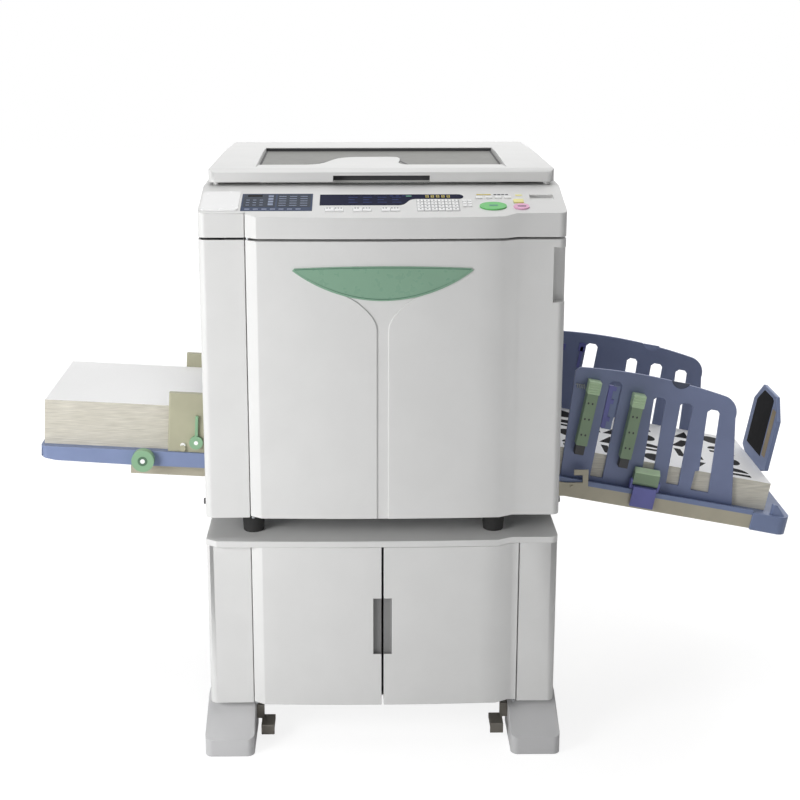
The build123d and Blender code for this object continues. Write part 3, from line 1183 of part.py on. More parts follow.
def make_clamp_bracket():
    """Bracket on the front guide that reaches over the tray's lip, with ears for the clamp lever."""
    x = (CLAMP_X - CLAMP_WIDTH / 2 + 2, CLAMP_X + CLAMP_WIDTH / 2 - 2)
    front = -OUT_HALF - 2 - BRACKET_THICK
    axis_y = -OUT_GUIDE_BACK - CLAMP_AXIS_OUT
    bracket = block(x, (front, front + BRACKET_THICK), (-BRACKET_DROP, BRACKET_TOP))
    bracket += block(x, (front, -OUT_GUIDE_BACK), (OUT_LIP + 1, BRACKET_TOP))
    for side in (-1, 1):
        inner = CLAMP_X + side * (CLAMP_WIDTH / 2 + CLEAR)
        outer = CLAMP_X + side * (CLAMP_WIDTH / 2 + CLAMP_EAR_THICK)
        ear_x = (min(inner, outer), max(inner, outer))
        ear_y = (axis_y - CLAMP_EAR, axis_y + CLAMP_EAR)
        bracket += rod_x(ear_x, axis_y, CLAMP_AXIS_UP, CLAMP_EAR)
        bracket += block(ear_x, ear_y, (OUT_LIP + 1, CLAMP_AXIS_UP))
        foot = CLAMP_X + side * CLAMP_FOOT
        bracket += block((min(outer, foot), max(outer, foot)), ear_y, (OUT_LIP + 1, BRACKET_TOP))
    reach = CLAMP_WIDTH / 2 + CLAMP_EAR_THICK + 1
    bracket -= rod_x((CLAMP_X - reach, CLAMP_X + reach), axis_y, CLAMP_AXIS_UP, CLAMP_PIN + RUN_FIT)
    return OUT_PLACE * bracket


def make_clamp_lever():
    half = CLAMP_WIDTH / 2
    axis_y = -OUT_GUIDE_BACK - CLAMP_AXIS_OUT
    lever = rod_x((CLAMP_X - half, CLAMP_X + half), axis_y, CLAMP_AXIS_UP, CLAMP_HUB)
    side = [(axis_y - 6, CLAMP_AXIS_UP), (axis_y + 6, CLAMP_AXIS_UP), (axis_y + 9, CLAMP_LEVER_TOP - 10)]
    side += [(axis_y + 4, CLAMP_LEVER_TOP), (axis_y - 8, CLAMP_LEVER_TOP - 8)]
    lever += prism_along_x(side, (CLAMP_X - half, CLAMP_X + half))
    pin_half = half + CLAMP_EAR_THICK - 1
    lever += rod_x((CLAMP_X - pin_half, CLAMP_X + pin_half), axis_y, CLAMP_AXIS_UP, CLAMP_PIN)
    return OUT_PLACE * lever


def make_end_stop():
    """Chamfered end stop on a stem and base that slide along the end cap."""
    start = OUT_PAPER_START + PAPER_LENGTH + CLEAR
    x = (start, start + STOP_THICK)
    top, low = STOP_TOP, STOP_BOTTOM
    shoulder = low + STOP_SHOULDER
    outline = [(-STOP_HALF, shoulder), (-STOP_HALF, top - STOP_CHAMFER), (-STOP_HALF + STOP_CHAMFER, top)]
    outline += [(STOP_HALF - STOP_CHAMFER, top), (STOP_HALF, top - STOP_CHAMFER), (STOP_HALF, shoulder)]
    outline += [(STOP_STEM_HALF, low), (STOP_STEM_HALF, STOP_BASE_THICK), (-STOP_STEM_HALF, STOP_BASE_THICK)]
    outline += [(-STOP_STEM_HALF, low)]
    stop = prism_along_x(outline, x)
    base_end = x[0] + STOP_BASE_LENGTH
    stop += block((x[0], base_end), (-2 * STOP_STEM_HALF, 2 * STOP_STEM_HALF), (CLEAR, STOP_BASE_THICK))
    gusset = [(x[1], STOP_BASE_THICK), (base_end, STOP_BASE_THICK), (x[1], GUSSET_HEIGHT)]
    for y in (-STOP_STEM_HALF, STOP_STEM_HALF - GUSSET_THICK):
        stop += prism_along_y(gusset, (y, y + GUSSET_THICK))
    return OUT_PLACE * stop


def make_nodes():
    left_door, right_door = make_doors()
    swivel_top = STAND_BOTTOM - CLEAR
    inside_x = (WALL - HALF, HALF - WALL)
    rear_forks = [make_fork(side * CASTER_X, CASTER_REAR, STAND_BOTTOM) for side in (-1, 1)]
    nodes = {
        "cabinet_shell": make_cabinet(),
        "stabiliser_feet": make_stabilisers(),
        "rear_caster_forks": rear_forks,
        "rubber_feet": make_rubber_feet(),
        "base_pan": block(inside_x, (PANEL_BACK + STEP, BODY_DEPTH - WALL), (BODY_BOTTOM, FLOOR_TOP)),
        "left_side_cover": make_left_cover(),
        "right_side_cover": make_right_cover(),
        "rear_cover": make_rear_cover(inlet_box()),
        "power_inlet": make_power_inlet(),
        "inner_frame": make_inner_frame(),
        "console_housing": make_console(),
        "platen_glass": make_glass(),
        "display_window": make_display(),
        "label_panel": make_label_panel(),
        "blank_cover": make_blank_cover(),
        "scanner_rails": make_rails(),
        "scanner_carriage": make_carriage(),
        "hinge_pins": make_hinge_pins(),
        "tray_brackets": make_tray_brackets(),
        "receiving_tray": make_receiving_tray(),
        "receiving_tray_frame": make_receiving_frame(),
        "receiving_end_cap": make_end_cap(),
        "printed_stack": make_printed_stack(),
        "platen_cover": make_lid(),
        "platen_pad": make_pad(),
        "document_floor": make_document_floor(),
        "front_cover": make_front_cover(),
        "emblem_plate": make_emblem(),
        "left_door": left_door,
        "right_door": right_door,
        "left_caster_fork": make_fork(-CASTER_X, CASTER_FRONT, swivel_top),
        "right_caster_fork": make_fork(CASTER_X, CASTER_FRONT, swivel_top),
        "front_left_wheel": make_wheel(-CASTER_X, CASTER_FRONT),
        "front_right_wheel": make_wheel(CASTER_X, CASTER_FRONT),
        "rear_left_wheel": make_wheel(-CASTER_X, CASTER_REAR),
        "rear_right_wheel": make_wheel(CASTER_X, CASTER_REAR),
        "left_brake_pedal": make_pedal(-1),
        "right_brake_pedal": make_pedal(1),
        "feed_tray": make_feed_tray(),
        "feed_tray_frame": make_feed_tray_frame(),
        "feed_paper_stack": make_feed_stack(),
        "feed_guide_front": make_feed_guide(-1),
        "feed_guide_rear": make_feed_guide(1),
        "feed_guide_lock": make_feed_lock(),
        "feed_tray_dial": make_dial(),
        "receiving_guide_front": make_receiving_guide(-1),
        "receiving_guide_rear": make_receiving_guide(1),
        "left_arranger": make_arranger(*ARRANGERS[0]),
        "right_arranger": make_arranger(*ARRANGERS[1]),
        "arranger_links": make_arranger_links(),
        "clamp_bracket": make_clamp_bracket(),
        "clamp_lever": make_clamp_lever(),
        "end_stop": make_end_stop(),
        "print_drum": make_drum(),
        "pressure_roller": make_roller(0, ROLLER_Z, ROLLER_RADIUS, ROLLER_SHAFT, DRUM_LENGTH - 4),
        "pickup_roller": make_roller(PICKUP_X, pickup_height(), PICKUP_RADIUS, PICKUP_SHAFT, PICKUP_LENGTH),
        "start_key": oval_on_slope(*START_KEY, 0, KEY_BELOW, KEY_ABOVE),
        "stop_key": oval_on_slope(*STOP_KEY, 0, KEY_BELOW, KEY_ABOVE),
        "reset_key": on_slope(*RESET_KEY, KEY_BELOW, KEY_ABOVE),
        "small_keys": make_small_keys(),
    }
    return nodes


def export_all(nodes):
    """Moves all pieces so that the whole outline is centred over the origin, and writes them."""
    os.makedirs("parts", exist_ok=True)
    groups = {}
    for name, shape in nodes.items():
        pieces = shape if isinstance(shape, list) else [shape]
        solids = [solid for piece in pieces for solid in piece.solids()]
        groups[name] = Compound(children=solids)
    everything = Compound(children=[Compound(children=list(group.solids())) for group in groups.values()])
    box = everything.bounding_box()
    centre = box.center()
    shift = Pos(-centre.X, -centre.Y, 0)
    print("outline", box.size, "shift", -centre.X, -centre.Y)
    for name, group in groups.items():
        export_step(shift * Compound(children=list(group.solids())), f"parts/{name}.step")


export_all(make_nodes())
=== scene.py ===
import json
from math import cos, pi, radians, sin, sqrt
import bmesh
import bpy
from mathutils import Matrix, Vector

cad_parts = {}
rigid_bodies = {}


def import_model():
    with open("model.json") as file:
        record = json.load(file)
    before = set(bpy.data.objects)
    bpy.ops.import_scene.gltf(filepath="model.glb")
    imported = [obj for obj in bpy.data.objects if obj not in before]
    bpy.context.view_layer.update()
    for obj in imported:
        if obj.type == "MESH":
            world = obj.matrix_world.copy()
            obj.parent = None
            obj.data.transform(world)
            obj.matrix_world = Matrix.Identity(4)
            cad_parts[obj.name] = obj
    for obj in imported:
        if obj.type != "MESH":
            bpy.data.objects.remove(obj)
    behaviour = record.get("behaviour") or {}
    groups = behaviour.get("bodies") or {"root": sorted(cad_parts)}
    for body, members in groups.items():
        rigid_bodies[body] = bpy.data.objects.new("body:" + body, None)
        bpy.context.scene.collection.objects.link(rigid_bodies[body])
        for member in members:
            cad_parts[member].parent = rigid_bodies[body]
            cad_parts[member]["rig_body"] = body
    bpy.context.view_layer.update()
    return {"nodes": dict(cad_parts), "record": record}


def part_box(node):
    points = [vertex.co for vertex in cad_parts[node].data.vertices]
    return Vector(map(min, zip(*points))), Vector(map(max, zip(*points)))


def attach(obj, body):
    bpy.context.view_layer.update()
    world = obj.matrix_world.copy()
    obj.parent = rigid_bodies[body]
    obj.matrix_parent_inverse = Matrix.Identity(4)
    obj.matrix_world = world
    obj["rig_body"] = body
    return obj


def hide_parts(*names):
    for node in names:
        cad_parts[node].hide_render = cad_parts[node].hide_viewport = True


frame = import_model()
MM = 0.001

# Places taken from the frame. Drawings on the object are in millimetres in one of these places.
CONSOLE_LOW, CONSOLE_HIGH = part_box("console_housing")
ARCH_DEPTH = 20.0
MIDDLE_X = (CONSOLE_LOW.x + CONSOLE_HIGH.x) / 2
HALF_WIDTH = (CONSOLE_HIGH.x - CONSOLE_LOW.x) / 2 / MM
FRONT_Y = CONSOLE_LOW.y + ARCH_DEPTH * MM
PAPER_Y = (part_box("printed_stack")[0].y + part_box("printed_stack")[1].y) / 2
SLOPE_RISE, SLOPE_DEPTH = 31.0, 120.0
SLOPE_TURN = Vector((0, SLOPE_DEPTH, SLOPE_RISE)).normalized()
FEED_TILT, OUT_TILT = radians(3.2), radians(10.7)
FEED_REACH, FEED_HEIGHT = 0.656, 0.540
OUT_REACH, OUT_HEIGHT = 0.330, 0.474
FEED_START = Vector((MIDDLE_X - FEED_REACH, PAPER_Y, FEED_HEIGHT))
OUT_START = Vector((MIDDLE_X + OUT_REACH, PAPER_Y, OUT_HEIGHT))
PAPER_LENGTH = 431.8
PRINT_TOP = 56.0
# Front faces of the guides, the dial and the lock, measured from the middle of the paper
GUIDE_FRONT, GUIDE_REAR = -146.1, 140.6
FEED_GUIDE_FRONT, DIAL_FRONT, LOCK_FRONT = -152.1, -157.3, -152.4
# Surfaces that printed marks lie on, above the panel, and the thickness of a mark
PANEL_TOP, KEY_TOP, INK = 0.3, 2.45, 0.25


def place(origin, x_axis, z_axis):
    """Matrix of a drawing place with its x and z directions."""
    y_axis = z_axis.cross(x_axis)
    matrix = Matrix((x_axis, y_axis, z_axis)).transposed().to_4x4()
    matrix.translation = origin
    return matrix


def tilted(origin, angle):
    return place(origin, Vector((cos(angle), 0, -sin(angle))), Vector((sin(angle), 0, cos(angle))))


SLOPE = place(Vector((MIDDLE_X, FRONT_Y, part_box("platen_glass")[1].z - SLOPE_RISE * MM)), Vector((1, 0, 0)),
              Vector((1, 0, 0)).cross(SLOPE_TURN))
FEED = tilted(FEED_START, FEED_TILT)
OUT = tilted(OUT_START, OUT_TILT)
BODY = place(Vector((MIDDLE_X, FRONT_Y, 0)), Vector((1, 0, 0)), Vector((0, 0, 1)))


def upright(frame_place, y):
    """Drawing plane that faces the front at one depth: u along x, v up, w towards the viewer."""
    return frame_place @ Matrix(((1, 0, 0, 0), (0, 0, -1, y * MM), (0, 1, 0, 0), (0, 0, 0, 1)))


def facing_left(frame_place, x):
    """Drawing plane that faces left: u towards the front, v up, w to the left."""
    return frame_place @ Matrix(((0, 0, -1, x * MM), (-1, 0, 0, 0), (0, 1, 0, 0), (0, 0, 0, 1)))


# Materials
GLOSS_SCALE, GLOSS_LOW, GLOSS_HIGH = 5, 0.05, 0.06
GRAIN_DEPTH, BRUSH_DEPTH, SHEET_DEPTH = 0.0003, 0.0002, 0.0004
COAT_ROUGHNESS = 0.12
BRUSH_SCALE = 60.0
SHEET_SCALE, SHEET_STRETCH = 3.0, (9, 9, 420)
WAVE_SCALE, WAVE_STRETCH = 7.0, (3, 3, 26)
FIBRE_SCALE = 260.0
SHEET_SHARE, TOP_SLOPE = 0.45, 0.8
STREAK_SCALE = 40.0


def linear(colour):
    """Linear colour of a six digit hex colour."""
    channels = [int(colour[i:i + 2], 16) / 255 for i in (0, 2, 4)]
    return [c / 12.92 if c <= 0.04045 else ((c + 0.055) / 1.055) ** 2.4 for c in channels] + [1.0]


class Tree:
    """A new node material with a Principled shader and short ways to add nodes to it."""

    def __init__(self, name):
        self.material = bpy.data.materials.new(name)
        self.material.use_nodes = True
        self.tree = self.material.node_tree
        self.shader = self.tree.nodes["Principled BSDF"]
        self.coordinates = self.add("ShaderNodeTexCoord").outputs["Object"]

    def add(self, kind, **settings):
        node = self.tree.nodes.new(kind)
        for key, value in settings.items():
            setattr(node, key, value)
        return node

    def link(self, source, target):
        self.tree.links.new(source, target)

    def noise(self, scale, stretch=(1, 1, 1), turn=0.0, detail=3.0):
        mapping = self.add("ShaderNodeMapping")
        mapping.inputs["Scale"].default_value = stretch
        mapping.inputs["Rotation"].default_value = (0, turn, 0)
        self.link(self.coordinates, mapping.inputs["Vector"])
        noise = self.add("ShaderNodeTexNoise")
        noise.inputs["Scale"].default_value = scale
        noise.inputs["Detail"].default_value = detail
        self.link(mapping.outputs["Vector"], noise.inputs["Vector"])
        return noise.outputs["Fac"]

    def ramp(self, factor, low, high, start=0.35, end=0.65):
        ramp = self.add("ShaderNodeValToRGB")
        ramp.color_ramp.elements[0].position = start
        ramp.color_ramp.elements[1].position = end
        ramp.color_ramp.elements[0].color = low
        ramp.color_ramp.elements[1].color = high
        self.link(factor, ramp.inputs["Fac"])
        return ramp.outputs["Color"]

    def roughness(self, factor, low, high):
        spread = self.add("ShaderNodeMapRange")
        spread.inputs["To Min"].default_value = low
        spread.inputs["To Max"].default_value = high
        self.link(factor, spread.inputs["Value"])
        self.link(spread.outputs["Result"], self.shader.inputs["Roughness"])

    def bump(self, height, strength, distance):
        bump = self.add("ShaderNodeBump")
        bump.inputs["Strength"].default_value = strength
        bump.inputs["Distance"].default_value = distance
        self.link(height, bump.inputs["Height"])
        self.link(bump.outputs["Normal"], self.shader.inputs["Normal"])


def shade(colour, amount):
    return [min(1.0, c * amount) for c in colour[:3]] + [1.0]


def moulded(name, colour, rough=0.42, spread=0.012, grain=900.0, bump=0.12, metallic=0.0, coat=0.0,
            cloud=14.0, shine=0.5):
    """Moulded plastic or paint: slow drift of colour, fine grain and uneven gloss."""
    tree = Tree(name)
    base = linear(colour)
    drift = tree.ramp(tree.noise(cloud), shade(base, 1 - spread), shade(base, 1 + spread))
    tree.link(drift, tree.shader.inputs["Base Color"])
    tree.roughness(tree.noise(cloud * GLOSS_SCALE), rough - GLOSS_LOW, rough + GLOSS_HIGH)
    tree.bump(tree.noise(grain, detail=2.0), bump, GRAIN_DEPTH)
    tree.shader.inputs["Metallic"].default_value = metallic
    tree.shader.inputs["Coat Weight"].default_value = coat
    tree.shader.inputs["Coat Roughness"].default_value = COAT_ROUGHNESS
    tree.shader.inputs["Specular IOR Level"].default_value = shine
    return tree.material


def brushed(name, colour, along):
    """Brushed or rolled metal with fine lines along one axis."""
    tree = Tree(name)
    base = linear(colour)
    lines = tree.noise(BRUSH_SCALE, stretch=along)
    tree.link(tree.ramp(lines, shade(base, 0.85), shade(base, 1.1)), tree.shader.inputs["Base Color"])
    tree.roughness(lines, 0.25, 0.45)
    tree.bump(lines, 0.1, BRUSH_DEPTH)
    tree.shader.inputs["Metallic"].default_value = 0.9
    return tree.material


def paper_block(name, side, top, tilt):
    """Block of sheets: faint wavy sheet lines on the sides, plain paper on top."""
    tree = Tree(name)
    sheets = tree.noise(SHEET_SCALE, stretch=SHEET_STRETCH, turn=-tilt, detail=4.0)
    waves = tree.noise(WAVE_SCALE, stretch=WAVE_STRETCH, turn=-tilt)
    lines = tree.ramp(sheets, shade(linear(side), 0.74), shade(linear(side), 1.06))
    soft = tree.add("ShaderNodeMix", data_type="RGBA", blend_type="MULTIPLY")
    soft.inputs["Factor"].default_value = SHEET_SHARE
    tree.link(lines, soft.inputs[6])
    tree.link(tree.ramp(waves, [0.82, 0.81, 0.78, 1], [1, 1, 1, 1]), soft.inputs[7])
    fibre = tree.ramp(tree.noise(FIBRE_SCALE), shade(linear(top), 0.98), shade(linear(top), 1.0))
    normal = tree.add("ShaderNodeSeparateXYZ")
    tree.link(tree.add("ShaderNodeNewGeometry").outputs["Normal"], normal.inputs["Vector"])
    up = tree.add("ShaderNodeMath", operation="GREATER_THAN")
    up.inputs[1].default_value = TOP_SLOPE
    tree.link(normal.outputs["Z"], up.inputs[0])
    mix = tree.add("ShaderNodeMix", data_type="RGBA")
    tree.link(up.outputs["Value"], mix.inputs["Factor"])
    tree.link(soft.outputs[2], mix.inputs[6])
    tree.link(fibre, mix.inputs[7])
    tree.link(mix.outputs[2], tree.shader.inputs["Base Color"])
    tree.roughness(sheets, 0.75, 0.95)
    tree.bump(sheets, 0.25, SHEET_DEPTH)
    return tree.material


def glass(name, colour):
    """Clear glass with faint streaks in its gloss."""
    tree = Tree(name)
    streaks = tree.noise(STREAK_SCALE)
    clear = linear(colour)
    tree.link(tree.ramp(streaks, shade(clear, 0.95), clear), tree.shader.inputs["Base Color"])
    tree.roughness(streaks, 0.02, 0.06)
    tree.shader.inputs["Transmission Weight"].default_value = 0.9
    return tree.material


LOOKS = {
    "stand_paint": moulded("stand_paint", "dfdfde", rough=0.40, grain=600.0, bump=0.10, shine=0.3),
    "body_light": moulded("body_light", "dfdfde", rough=0.40, grain=700.0, bump=0.08, shine=0.3),
    "shoe_grey": moulded("shoe_grey", "c9c9ca", rough=0.50, bump=0.25),
    "black_metal": moulded("black_metal", "303133", rough=0.42, metallic=0.3),
    "grey_metal": moulded("grey_metal", "77736c", rough=0.40, metallic=0.5),
    "black_tyre": moulded("black_tyre", "262626", rough=0.72, bump=0.35),
    "frame_steel": brushed("frame_steel", "a9abae", (1, 1, 30)),
    "inlet_black": moulded("inlet_black", "242424", rough=0.55),
    "clear_glass": glass("clear_glass", "dfe9e8"),
    "display_navy": moulded("display_navy", "10142e", rough=0.45, spread=0.10, grain=300.0, bump=0.02,
                            shine=0.05),
    "label_slate": moulded("label_slate", "3f4a62", rough=0.45, spread=0.06, bump=0.04, shine=0.1),
    "plate_white": moulded("plate_white", "f4f4f4", rough=0.25, bump=0.05),
    "carriage_black": moulded("carriage_black", "3a3a3a", rough=0.6),
    "bracket_beige": moulded("bracket_beige", "b4ae9b", rough=0.36, spread=0.05, metallic=0.15),
    "tray_blue": moulded("tray_blue", "7987ab", rough=0.42, spread=0.04, bump=0.20),
    "plain_paper": paper_block("plain_paper", "d3cfc3", "fafafa", FEED_TILT),
    "printed_paper": paper_block("printed_paper", "e4e0d3", "fafafa", OUT_TILT),
    "pad_white": moulded("pad_white", "efefec", rough=0.8, bump=0.3),
    "floor_dark": moulded("floor_dark", "73736f", rough=0.42, spread=0.05, bump=0.10),
    "emblem_green": moulded("emblem_green", "86ab93", rough=0.28, spread=0.015, bump=0.05, coat=0.3),
    "guide_beige": moulded("guide_beige", "aaa890", rough=0.45, spread=0.06, bump=0.25),
    "part_green": moulded("part_green", "86ad8a", rough=0.38, bump=0.15),
    "guide_slate": moulded("guide_slate", "7883a6", rough=0.40, spread=0.05, bump=0.22),
    "arranger_green": moulded("arranger_green", "879e80", rough=0.42, spread=0.05, bump=0.2),
    "link_purple": moulded("link_purple", "6a6cae", rough=0.35, spread=0.10),
    "drum_metal": brushed("drum_metal", "c9cbcd", (20, 1, 20)),
    "roller_rubber": moulded("roller_rubber", "3b3b3d", rough=0.75, bump=0.35),
    "key_green": moulded("key_green", "62c168", rough=0.30, coat=0.2),
    "key_pink": moulded("key_pink", "e9acce", rough=0.30, coat=0.2),
    "key_yellow": moulded("key_yellow", "ebe491", rough=0.30, coat=0.2),
    "key_white": moulded("key_white", "f2f2f2", rough=0.32, coat=0.2),
    "cap_green": moulded("cap_green", "c2dcb6", rough=0.40, bump=0.2),
    "recess_grey": moulded("recess_grey", "828282", rough=0.40, spread=0.05),
    # Dark grey of the knobs, the arrangers' feet and the lid's notch, also used for painted shade on the lid
    # pocket's walls, along its floor and in the arrangers' holes
    "dark_gap": moulded("dark_gap", "48484a", rough=0.60, spread=0.06),
    "print_black": moulded("print_black", "101012", rough=0.60, spread=0.10, bump=0.05, shine=0.1),
    "pale_ink": moulded("pale_ink", "7f8aa3", rough=0.5, spread=0.12, cloud=400.0),
    "blue_ink": moulded("blue_ink", "3a4678", rough=0.5, spread=0.20, cloud=400.0, shine=0.1),
    "dark_ink": moulded("dark_ink", "3d434e", rough=0.5, spread=0.15, cloud=400.0, shine=0.1),
    "yellow_ink": moulded("yellow_ink", "c3b253", rough=0.4, spread=0.15, cloud=400.0),
    "green_ink": moulded("green_ink", "4f8f78", rough=0.4, spread=0.12, cloud=400.0),
    "tan_strip": moulded("tan_strip", "9d8f77", rough=0.8, spread=0.08, bump=0.4),
    # Grey of the plates under the keys: painted shade in the gaps between the keys
    "painted_key_shade": moulded("painted_key_shade", "a9a9ab", rough=0.5, spread=0.03),
    # Dark green of the ring over the dial's groove: painted shade
    "dial_shade": moulded("dial_shade", "52735a", rough=0.45, spread=0.06),
    "rim_green": moulded("rim_green", "4f7663", rough=0.35, spread=0.06),
    "spring_steel": brushed("spring_steel", "b9bbbd", (1, 1, 1)),
    # One grip cup moulding in two tones: the front cup darker with painted shade, the rear cup lighter with
    # painted light
    "cup_shade": moulded("cup_shade", "474e62", rough=0.5, spread=0.05),
    "cup_light": moulded("cup_light", "8f9bc0", rough=0.5, spread=0.05),
}
SLOTS = {row["node"]: row["material_slot"] for row in frame["record"]["subparts"]}


def dress_nodes():
    """Gives every CAD node the look of its slot, and the printed stack its own."""
    for name, node in frame["nodes"].items():
        node.data.materials.clear()
        node.data.materials.append(LOOKS["printed_paper" if name == "printed_stack" else SLOTS[name]])


# Shapes
def add_piece(name, mesh, look, body):
    piece = bpy.data.objects.new(name, mesh)
    bpy.context.scene.collection.objects.link(piece)
    mesh.materials.append(LOOKS[look])
    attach(piece, body)
    return piece


def rect(left, right, low, high):
    return [(left, low), (right, low), (right, high), (left, high)]


def grid(left, width, step, columns, low, height, rise=0, rows=1):
    """Equal rectangles in columns and rows."""
    return [rect(left + step * i, left + width + step * i, low + rise * j, low + height + rise * j)
            for i in range(columns) for j in range(rows)]


def oval(x, y, radius_x, radius_y, start=0.0, end=2 * pi, steps=28):
    """Points of an ellipse, or of a part of it."""
    full = abs(end - start - 2 * pi) < 0.001
    count = steps if full else steps + 1
    angles = [start + (end - start) * i / steps for i in range(count)]
    return [(x + radius_x * cos(angle), y + radius_y * sin(angle)) for angle in angles]


def add_shape(name, shape, look, body):
    """Closes a mesh under construction and adds it as a piece."""
    bmesh.ops.recalc_face_normals(shape, faces=shape.faces)
    mesh = bpy.data.meshes.new(name)
    shape.to_mesh(mesh)
    shape.free()
    return add_piece(name, mesh, look, body)


def plates(name, where, outlines, low, high, look, body, slot_name):
    """Thin plates or printed marks with these outlines, joined into one piece."""
    shape = bmesh.new()
    for outline in outlines:
        rings = []
        for z in (low, high):
            rings.append([shape.verts.new(where @ Vector((x * MM, y * MM, z * MM))) for x, y in outline])
        shape.faces.new(rings[0][::-1])
        shape.faces.new(rings[1])
        for i in range(len(outline)):
            j = (i + 1) % len(outline)
            shape.faces.new((rings[0][i], rings[0][j], rings[1][j], rings[1][i]))
    return add_shape(name, shape, look, body)


# Rounded edges: the openings on the panel stay sharp, and so do edges of less than this many widths
OPENINGS_X, OPENINGS_Y, OPENINGS_DEPTH = (-260, 310), (2, 104), 12
WELD = 1e-6
FLAT_ANGLE, EDGE_ANGLE, SMOOTH_ANGLE = radians(0.4), radians(30), radians(32)
SHORTEST_EDGE = 2.2
EDGE_STEPS = 3


def at_openings(point):
    """Tells whether a point lies at the openings of the control panel, whose edges stay sharp."""
    spot = SLOPE.inverted() @ point / MM
    inside_x = OPENINGS_X[0] < spot.x < OPENINGS_X[1]
    inside_y = OPENINGS_Y[0] < spot.y < OPENINGS_Y[1]
    return inside_x and inside_y and abs(spot.z) < OPENINGS_DEPTH


def is_rounded(edge, node, width):
    """Tells whether an edge is outward, sharp and long enough to be rounded."""
    if not edge.is_convex or edge.calc_length() <= SHORTEST_EDGE * width * MM:
        return False
    middle = (edge.verts[0].co + edge.verts[1].co) / 2
    return edge.calc_face_angle() > EDGE_ANGLE and not (node == "console_housing" and at_openings(middle))


def softened(node, width):
    """Copy of a CAD node with its long sharp edges rounded, which stands for the node."""
    source = frame["nodes"][node]
    shape = bmesh.new()
    shape.from_mesh(source.data)
    bmesh.ops.remove_doubles(shape, verts=shape.verts, dist=WELD)
    bmesh.ops.dissolve_limit(shape, angle_limit=FLAT_ANGLE, verts=shape.verts, edges=shape.edges)
    weight = shape.edges.layers.float.new("bevel_weight_edge")
    for edge in shape.edges:
        if is_rounded(edge, node, width):
            edge[weight] = 1.0
    mesh = bpy.data.meshes.new("soft_" + node)
    shape.to_mesh(mesh)
    shape.free()
    piece = bpy.data.objects.new("soft_" + node, mesh)
    bpy.context.scene.collection.objects.link(piece)
    bevel = piece.modifiers.new("edges", "BEVEL")
    bevel.limit_method = "WEIGHT"
    bevel.width = width * MM
    bevel.segments = EDGE_STEPS
    bevel.use_clamp_overlap = False
    depsgraph = bpy.context.evaluated_depsgraph_get()
    piece.data = bpy.data.meshes.new_from_object(piece.evaluated_get(depsgraph))
    piece.modifiers.clear()
    piece.data.materials.clear()
    piece.data.materials.append(LOOKS[SLOTS[node]])
    for face in piece.data.polygons:
        face.use_smooth = True
    piece.data.set_sharp_from_angle(angle=SMOOTH_ANGLE)
    weighted = piece.modifiers.new("normals", "WEIGHTED_NORMAL")
    weighted.keep_sharp = True
    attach(piece, source["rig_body"])
    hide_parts(node)
    return piece


def paint_where(piece, look, where, test):
    """Gives another material to the faces whose centre, in millimetres of a place, passes the test."""
    piece.data.materials.append(LOOKS[look])
    index = len(piece.data.materials) - 1
    back = where.inverted()
    for face in piece.data.polygons:
        centre = back @ face.center / MM
        if test(centre, face.normal):
            face.material_index = index


# Width of the rounded edges in millimetres
EDGES = {
    "front_cover": 1.3, "left_door": 1.3, "right_door": 1.3, "cabinet_shell": 1.2, "left_side_cover": 1.3,
    "right_side_cover": 1.0, "rear_cover": 1.0, "stabiliser_feet": 3.0, "blank_cover": 0.8, "feed_tray": 1.5,
    "feed_guide_front": 2.4, "feed_guide_rear": 2.4, "feed_tray_dial": 1.6, "feed_guide_lock": 1.2,
    "receiving_tray": 1.0, "receiving_end_cap": 2.0, "end_stop": 1.5, "receiving_guide_front": 0.8,
    "receiving_guide_rear": 0.8, "left_arranger": 0.9, "right_arranger": 0.9, "clamp_lever": 1.3,
    "clamp_bracket": 0.7, "arranger_links": 0.5, "tray_brackets": 0.6, "platen_cover": 1.8,
    "console_housing": 1.4, "start_key": 1.0, "stop_key": 1.0, "reset_key": 0.8, "small_keys": 0.6,
    "left_brake_pedal": 1.0, "right_brake_pedal": 1.0, "rubber_feet": 1.0, "front_left_wheel": 2.5,
    "front_right_wheel": 2.5, "rear_left_wheel": 2.5, "rear_right_wheel": 2.5, "platen_pad": 1.6,
}

# Handle recess of the doors, then notch and pocket walls of the lid
RECESS_HALF, RECESS_Y, RECESS_Z = 17.6, (-19.2, -10), (186, 301)
NOTCH_HALF, NOTCH_DEPTH, NOTCH_LIFT, NOTCH_HEIGHT = 88.5, 23, 5, 13
NOTCH_LIP, LEVEL_FACE, UPRIGHT_FACE = 1, 0.5, 0.7
POCKET_HALF, POCKET_FRONT, POCKET_BACK, POCKET_WALL = 233, 2, 252, 4.5
# Arrangers: node, body, place along the guide and lower end
ARRANGERS = (("left_arranger", "arranger_a", 43, 53), ("right_arranger", "arranger_b", 133, 42))
FOOT_TOP, CAP_LOW, CLAMP_CAP_LOW = 19.5, 124.8, 30


